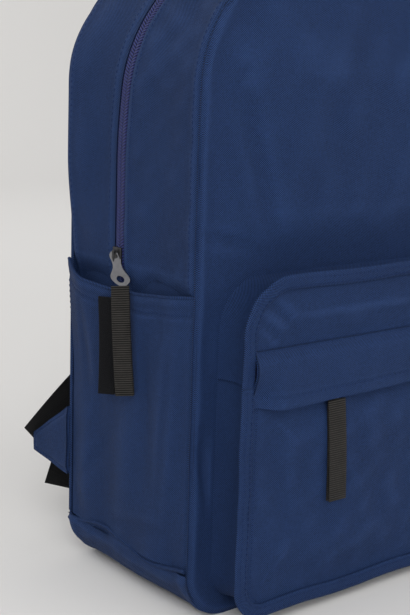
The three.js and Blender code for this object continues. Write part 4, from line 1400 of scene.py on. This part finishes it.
def dress_padded(piece, points, finish, u_axis, v_axis):
    """Writes the points, lays a flat UV map along two directions, and smooths once."""
    mesh = piece.data
    mesh.vertices.foreach_set("co", points.reshape(-1).astype(np.float32))
    corners = np.empty(len(mesh.loops), np.int32)
    mesh.loops.foreach_get("vertex_index", corners)
    while mesh.uv_layers:
        mesh.uv_layers.remove(mesh.uv_layers[0])
    pairs = np.stack([points @ np.array(u_axis), points @ np.array(v_axis)], axis=-1)[corners]
    mesh.uv_layers.new(name="UVMap").data.foreach_set("uv", pairs.reshape(-1).astype(np.float32))
    if "rub_and_highlight" not in mesh.attributes:
        mesh.attributes.new("rub_and_highlight", "FLOAT", "POINT")
    mesh.materials.clear()
    mesh.materials.append(finish)
    mesh.shade_smooth()
    piece.modifiers.new("smoother", "SUBSURF").levels = 1
    piece.modifiers["smoother"].render_levels = 1
    apply_all(piece)
    piece.data.shade_smooth()


pad_path = on_strap(PAD_LINE)
taper = lambda t: 0.80 + 0.20 * smooth(t, 0, 0.3) - 0.42 * smooth(t, 0.78, 1.0)
pad = carried("strap_pad_body_right", pad_path, STRAP_ACROSS, strip_profile(54 * MM, 6.4 * MM, 0.5), NAVY,
    2.5 * MM, taper)
pad_points = swell_by_simulation(pad, 5 * MM, 4 * MM)
other = bpy.data.objects.new("strap_pad_body_left", pad.data.copy())
bpy.context.scene.collection.objects.link(other)
other.data.flip_normals()
dress_padded(pad, pad_points, NAVY, STRAP_ACROSS, STRAP_UP)
dress_padded(other, mirrored(pad_points), NAVY, STRAP_ACROSS * [1, -1, -1], STRAP_UP * [-1, 1, 1])
stands_for(pad, "strap_pad_right")
stands_for(other, "strap_pad_left")
print("strap pad of", len(pad.data.polygons), "faces")

# %% [markdown]
# Each strap's sides are bound with a tape folded over its edge, sewn through along its inner side.
# A web of stitches would sink into the swollen cloth, so the rows lie on the bindings themselves.

# %% Strap bindings
pad_line = resample(pad_path, 2.5 * MM)
pad_half = 27 * MM * taper(np.linspace(0, 1, len(pad_line)))[:, None]
pad_ahead = unit(np.gradient(pad_line, axis=0))
pad_over = np.cross(STRAP_ACROSS, pad_ahead)
for edge_name, way in (("inner", -1), ("outer", 1)):
    edge_line = pad_line + way * (pad_half - 1.4 * MM) * STRAP_ACROSS
    edge_line = edge_line[1:-1]
    for side in ("right", "left"):
        flip_x = [1, 1, 1] if side == "right" else [-1, 1, 1]
        line, over = edge_line * flip_x, pad_over[1:-1] * flip_x
        tape = carried(f"strap_binding_{edge_name}_{side}", line, over,
            strip_profile(7.6 * MM, 5.4 * MM, 0.8), BINDING, smooth_path=False)
        top = line + over * 3.6 * MM
        under = line - over * 3.6 * MM
        thread = sew(f"strap_stitches_{edge_name}_{side}",
            [stitch_row(top, over), stitch_row(under, -over)], THREAD_FINISH)
        goes_with(tape, f"strap_pad_{side}")
        goes_with(thread, f"strap_pad_{side}")
print("bindings of", round(float(np.linalg.norm(np.diff(edge_line, axis=0), axis=1).sum()) * 1000), "mm")

# %% [markdown]
# The rest of the harness is webbing. From the pad's end a loop holds the ladder lock. The strap
# webbing comes up from the corner tab, passes behind the lock, over a bar and back down, and its
# loose end hangs free. The path through the lock is a hairpin, given point by point.

# %% Webbing
FLAT_WEBBING = strip_profile(25 * MM, 1.5 * MM, 0.3)
LOCK_TURN = [(-5, -40), (-5, -26), (-4.6, -15), (-2.5, -13), (1, -13), (3.2, -15), (3.4, -17),
    (3.2, -19.5), (1, -21), (-1.5, -21.2), (-2.9, -23), (-3.1, -30), (-2.6, -36)]


def lock_path(pairs_mm):
    return on_strap(np.array(pairs_mm) * MM + np.array([LOCK_PLACE]))


def both_sides(node, path, across, profile, finish, pitch=1.5 * MM):
    """The same strip on the right and, mirrored, on the left; each stands for its own solid."""
    made = []
    for side, flip_x in (("right", [1, 1, 1]), ("left", [-1, 1, 1])):
        name = f"{node}_tape_{side}"
        strip = carried(name, np.array(path) * flip_x, np.array(across) * flip_x, profile, finish, pitch)
        made.append(stands_for(strip, f"{node}_{side}"))
    return made


both_sides("lock_loop", lock_path([(0, 6), (0, 3), (0, 0.6)]), STRAP_ACROSS,
    strip_profile(25 * MM, 2.2 * MM, 0.3), STRAP_WEBBING)
both_sides("lock_webbing", lock_path(LOCK_TURN), STRAP_ACROSS, strip_profile(25 * MM, 1.3 * MM, 0.3),
    STRAP_WEBBING, 0.8 * MM)
WEBBING_TOP = np.array([0.076, 0.1205, 0.141])
TAB_END = np.array([0.149, 0.124, 0.077])
run_up = unit(WEBBING_TOP - TAB_END)
run_across = unit(np.array([1.0, 0, 0]) - run_up[0] * run_up)
run_out = np.cross(run_up, run_across)
share = np.linspace(0, 0.98, 9)[:, None]
long_run = WEBBING_TOP + (TAB_END - WEBBING_TOP) * share + run_out * 2.4 * MM * np.sin(np.pi * share)
both_sides("strap_webbing", long_run, run_across, FLAT_WEBBING, STRAP_WEBBING)
TAIL_TURN = math.radians(22)
tail_top = np.array([0.0760, 0.13115, 0.1440])
tail_down = np.array([math.sin(TAIL_TURN), 0, -math.cos(TAIL_TURN)])
tail_side = np.array([math.cos(TAIL_TURN), 0, math.sin(TAIL_TURN)])
steps = np.linspace(0, 1, 10)[:, None]
tail_bow = np.array([0, 2.0 * MM, 0]) * np.sin(3.2 * steps) * steps
tail_path = tail_top + tail_down * steps * 0.121 + tail_bow
both_sides("strap_tail", tail_path, tail_side, FLAT_WEBBING, STRAP_WEBBING)

# %% [markdown]
# The corner tab is a triangle of the navy cloth, folded and padded, and sewn into the back seam.
# The webbing leaves from its slanted edge. Above, each pad joins the bag through a short stub, fixed
# in place and not bent between the two, and a yoke of cloth crosses the back over both stubs.

# %% Corner tabs, stubs and yoke
def tab_points(sign):
    """Between a long edge on the back seam and a short edge at the webbing: a straight blend."""
    s = np.linspace(0, 1, 40)[:, None]
    t = np.linspace(0, 1, 40)[None, :]
    y = (BACK - 1 * MM) + (0.121 - BACK + 1 * MM) * s + 0 * t
    bottom = 0.064 + (0.070 - 0.064) * s
    top = 0.116 + (0.084 - 0.116) * s
    z = bottom + (top - bottom) * t
    edge = np.minimum(np.minimum(t, 1 - t) * (top - bottom), np.minimum(1 - s, 1) * 0.045)
    swell = 1.1 * MM * smooth(edge, 0, 7 * MM) - 0.5 * MM * bump(edge, 3.2 * MM, 0.8 * MM)
    x = sign * (0.1480 + 1.0 * MM + swell)
    points = np.stack([x, y, z], axis=-1)
    points[..., 0] += sign * ripple(points, 0.03, 91) * 0.4 * MM
    return points


for side, sign in (("left", -1), ("right", 1)):
    tab = tab_points(sign)
    stands_for(cloth(f"anchor_tab_cloth_{side}", tab, NAVY, 2.8 * MM, away=np.array([0, 0.1, 0.09])),
        f"anchor_tab_{side}")
    rows = [stitch_row(tab[2:-3, 3], (sign, 0, 0)), stitch_row(tab[2:-3, -4], (sign, 0, 0)),
        stitch_row(tab[-5, 3:-4], (sign, 0, 0))]
    goes_with(sew(f"anchor_tab_stitches_{side}", rows, THREAD_FINISH), f"anchor_tab_{side}")
    stub_line = np.array([(sign * 0.050, 0.0822, 0.404), (sign * 0.050, 0.0826, 0.390),
        (sign * 0.050, 0.088, 0.374),
        (sign * 0.050, 0.0985, 0.3635), (sign * 0.051, 0.1040, 0.355)])
    narrow = lambda t: 1 - 0.08 * t
    stub = carried(f"strap_stub_cloth_{side}", stub_line, (sign, 0, 0),
        strip_profile(46 * MM, 5.4 * MM, 0.55), NAVY, 2 * MM, narrow)
    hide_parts(f"strap_stub_{side}")
    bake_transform(stub)
yoke = carried("strap_yoke_cloth", [(x, 0.0772, 0.394) for x in np.linspace(-0.082, 0.082, 12)],
    (0, 0, 1), strip_profile(36 * MM, 4.4 * MM, 0.4), NAVY, 2 * MM)
stands_for(yoke, "strap_yoke")
yoke_rows = [stitch_row([(x, 0.0797, z) for x in np.linspace(-0.078, 0.078, 40)], (0, 1, 0))
    for z in (0.379, 0.394, 0.409)]
goes_with(sew("strap_yoke_stitches", yoke_rows, THREAD_FINISH), "strap_yoke")

# %% [markdown]
# The haul handle is one webbing, sewn flat to the top at both ends, with the ends running into the
# gusset, and arched between them. Its arch is free to lean, so it is a piece of its own.

# %% Haul handle
HANDLE_Y = 0.058
handle_rise = [(-0.0300, 0.4480), (-0.0272, 0.4545), (-0.0220, 0.4618), (-0.0110, 0.4675), (0, 0.4690)]
handle_half = np.array([(x, HANDLE_Y, z) for x, z in handle_rise])
handle_line = np.concatenate([handle_half, handle_half[-2::-1] * [-1, 1, 1]])
handle = carried("haul_handle_webbing", handle_line, (0, 1, 0), strip_profile(22 * MM, 2.8 * MM, 0.35),
    STRAP_WEBBING)
stands_for(handle, "haul_handle")
for side, sign in (("left", -1), ("right", 1)):
    foot_rise = [(0.047, 0.4406), (0.038, 0.4412), (0.0320, 0.4428), (0.0302, 0.4452), (0.0300, 0.4485)]
    foot_line = np.array([(sign * x, HANDLE_Y, z) for x, z in foot_rise])
    foot = carried(f"handle_foot_webbing_{side}", foot_line, (0, 1, 0),
        strip_profile(22 * MM, 2.2 * MM, 0.35), STRAP_WEBBING)
    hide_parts(f"handle_foot_{side}")
    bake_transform(foot)

# %% [markdown]
# The back lies against the wearer, so it is cloth over a foam sheet, quilted with two upright seams.
# It is padded too: a numpy crown is enough here, since a sheet this flat barely swells.

# %% Back panel
back_points = panel(BODY, BACK, 120, 3.5 * MM)
x, z = back_points[..., 0], back_points[..., 2]
deep = edge_distance(x, z, *BODY)
quilt = sum(bump(np.abs(x), place, 3.2 * MM) for place in (48 * MM, 118 * MM)) * smooth(deep, 8 * MM, 30 * MM)
crown = 2.0 * MM * smooth(deep, 2 * MM, 22 * MM) - 3.0 * MM * np.minimum(quilt, 1)
crown = crown + ripple(back_points, 0.05, 101) * 0.5 * MM * smooth(deep, 4 * MM, 20 * MM)
crown = crown * (0.25 + 0.75 * (1 - bump(z, 0.394, 0.03) * (np.abs(x) < 0.09)))
crown = crown - 1.6 * MM * (1 - smooth(deep, 0, 5 * MM))
back_points[..., 1] += crown - 0.4 * MM
back_cloth = cloth("back_panel_cloth", back_points, NAVY, 2 * MM, flat_uv=(0, 2))
stands_for(back_cloth, "back_panel")
quilt_rows = []
for place in (-0.118, -0.048, 0.048, 0.118):
    column = np.argmin(np.abs(back_points[60, :, 0] - place))
    quilt_rows.append(stitch_row(back_points[14:-42, column] + [0, 0.1 * MM, 0], (0, 1, 0)))
goes_with(sew("back_panel_stitches", quilt_rows, THREAD_FINISH), "back_panel")

# %% [markdown]
# Inside are a foam sheet, a base board and a laptop sleeve with a bound edge. They are seen when the
# lid folds down. The foam and the board are hard-edged sheets on the real bag as well, so their
# solids stay, with finishes in their slots. The sleeve is cloth, so it gets a grid that sags.

# %% Inside
for node, finish in (("back_foam_sheet", FOAM), ("base_board", BOARD)):
    for holder in frame["nodes"][node].material_slots:
        holder.material = finish
sleeve_low, sleeve_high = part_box("laptop_sleeve")
x = np.linspace(sleeve_low.x, sleeve_high.x, 60)[None, :]
z = np.linspace(sleeve_low.z, high("sleeve_binding").z - 1.5 * MM, 60)[:, None]
y = sleeve_low.y + 1 * MM + 0 * x * z
sleeve = np.stack([x + 0 * z, y, z + 0 * x], axis=-1)
edge = smooth(np.minimum(x - sleeve_low.x, sleeve_high.x - x), 0, 30 * MM)
sleeve[..., 1] -= edge * smooth(z, sleeve_low.z, 0.2) * 3 * MM + ripple(sleeve, 0.08, 111) * 1 * MM * edge
sleeve[..., 1] += (1 - smooth(np.minimum(x - sleeve_low.x, sleeve_high.x - x), 0, 8 * MM)) * 20 * MM
sleeve_cloth = cloth("laptop_sleeve_cloth", sleeve, LINING, away=np.array([0, 0.3, 0.2]), flat_uv=(0, 2))
stands_for(sleeve_cloth, "laptop_sleeve")
lip = carried("sleeve_edge_binding", sleeve[-1], (0, 0, 1), strip_profile(6 * MM, 3.4 * MM, 0.7), BINDING,
    smooth_path=False)
stands_for(lip, "sleeve_binding")
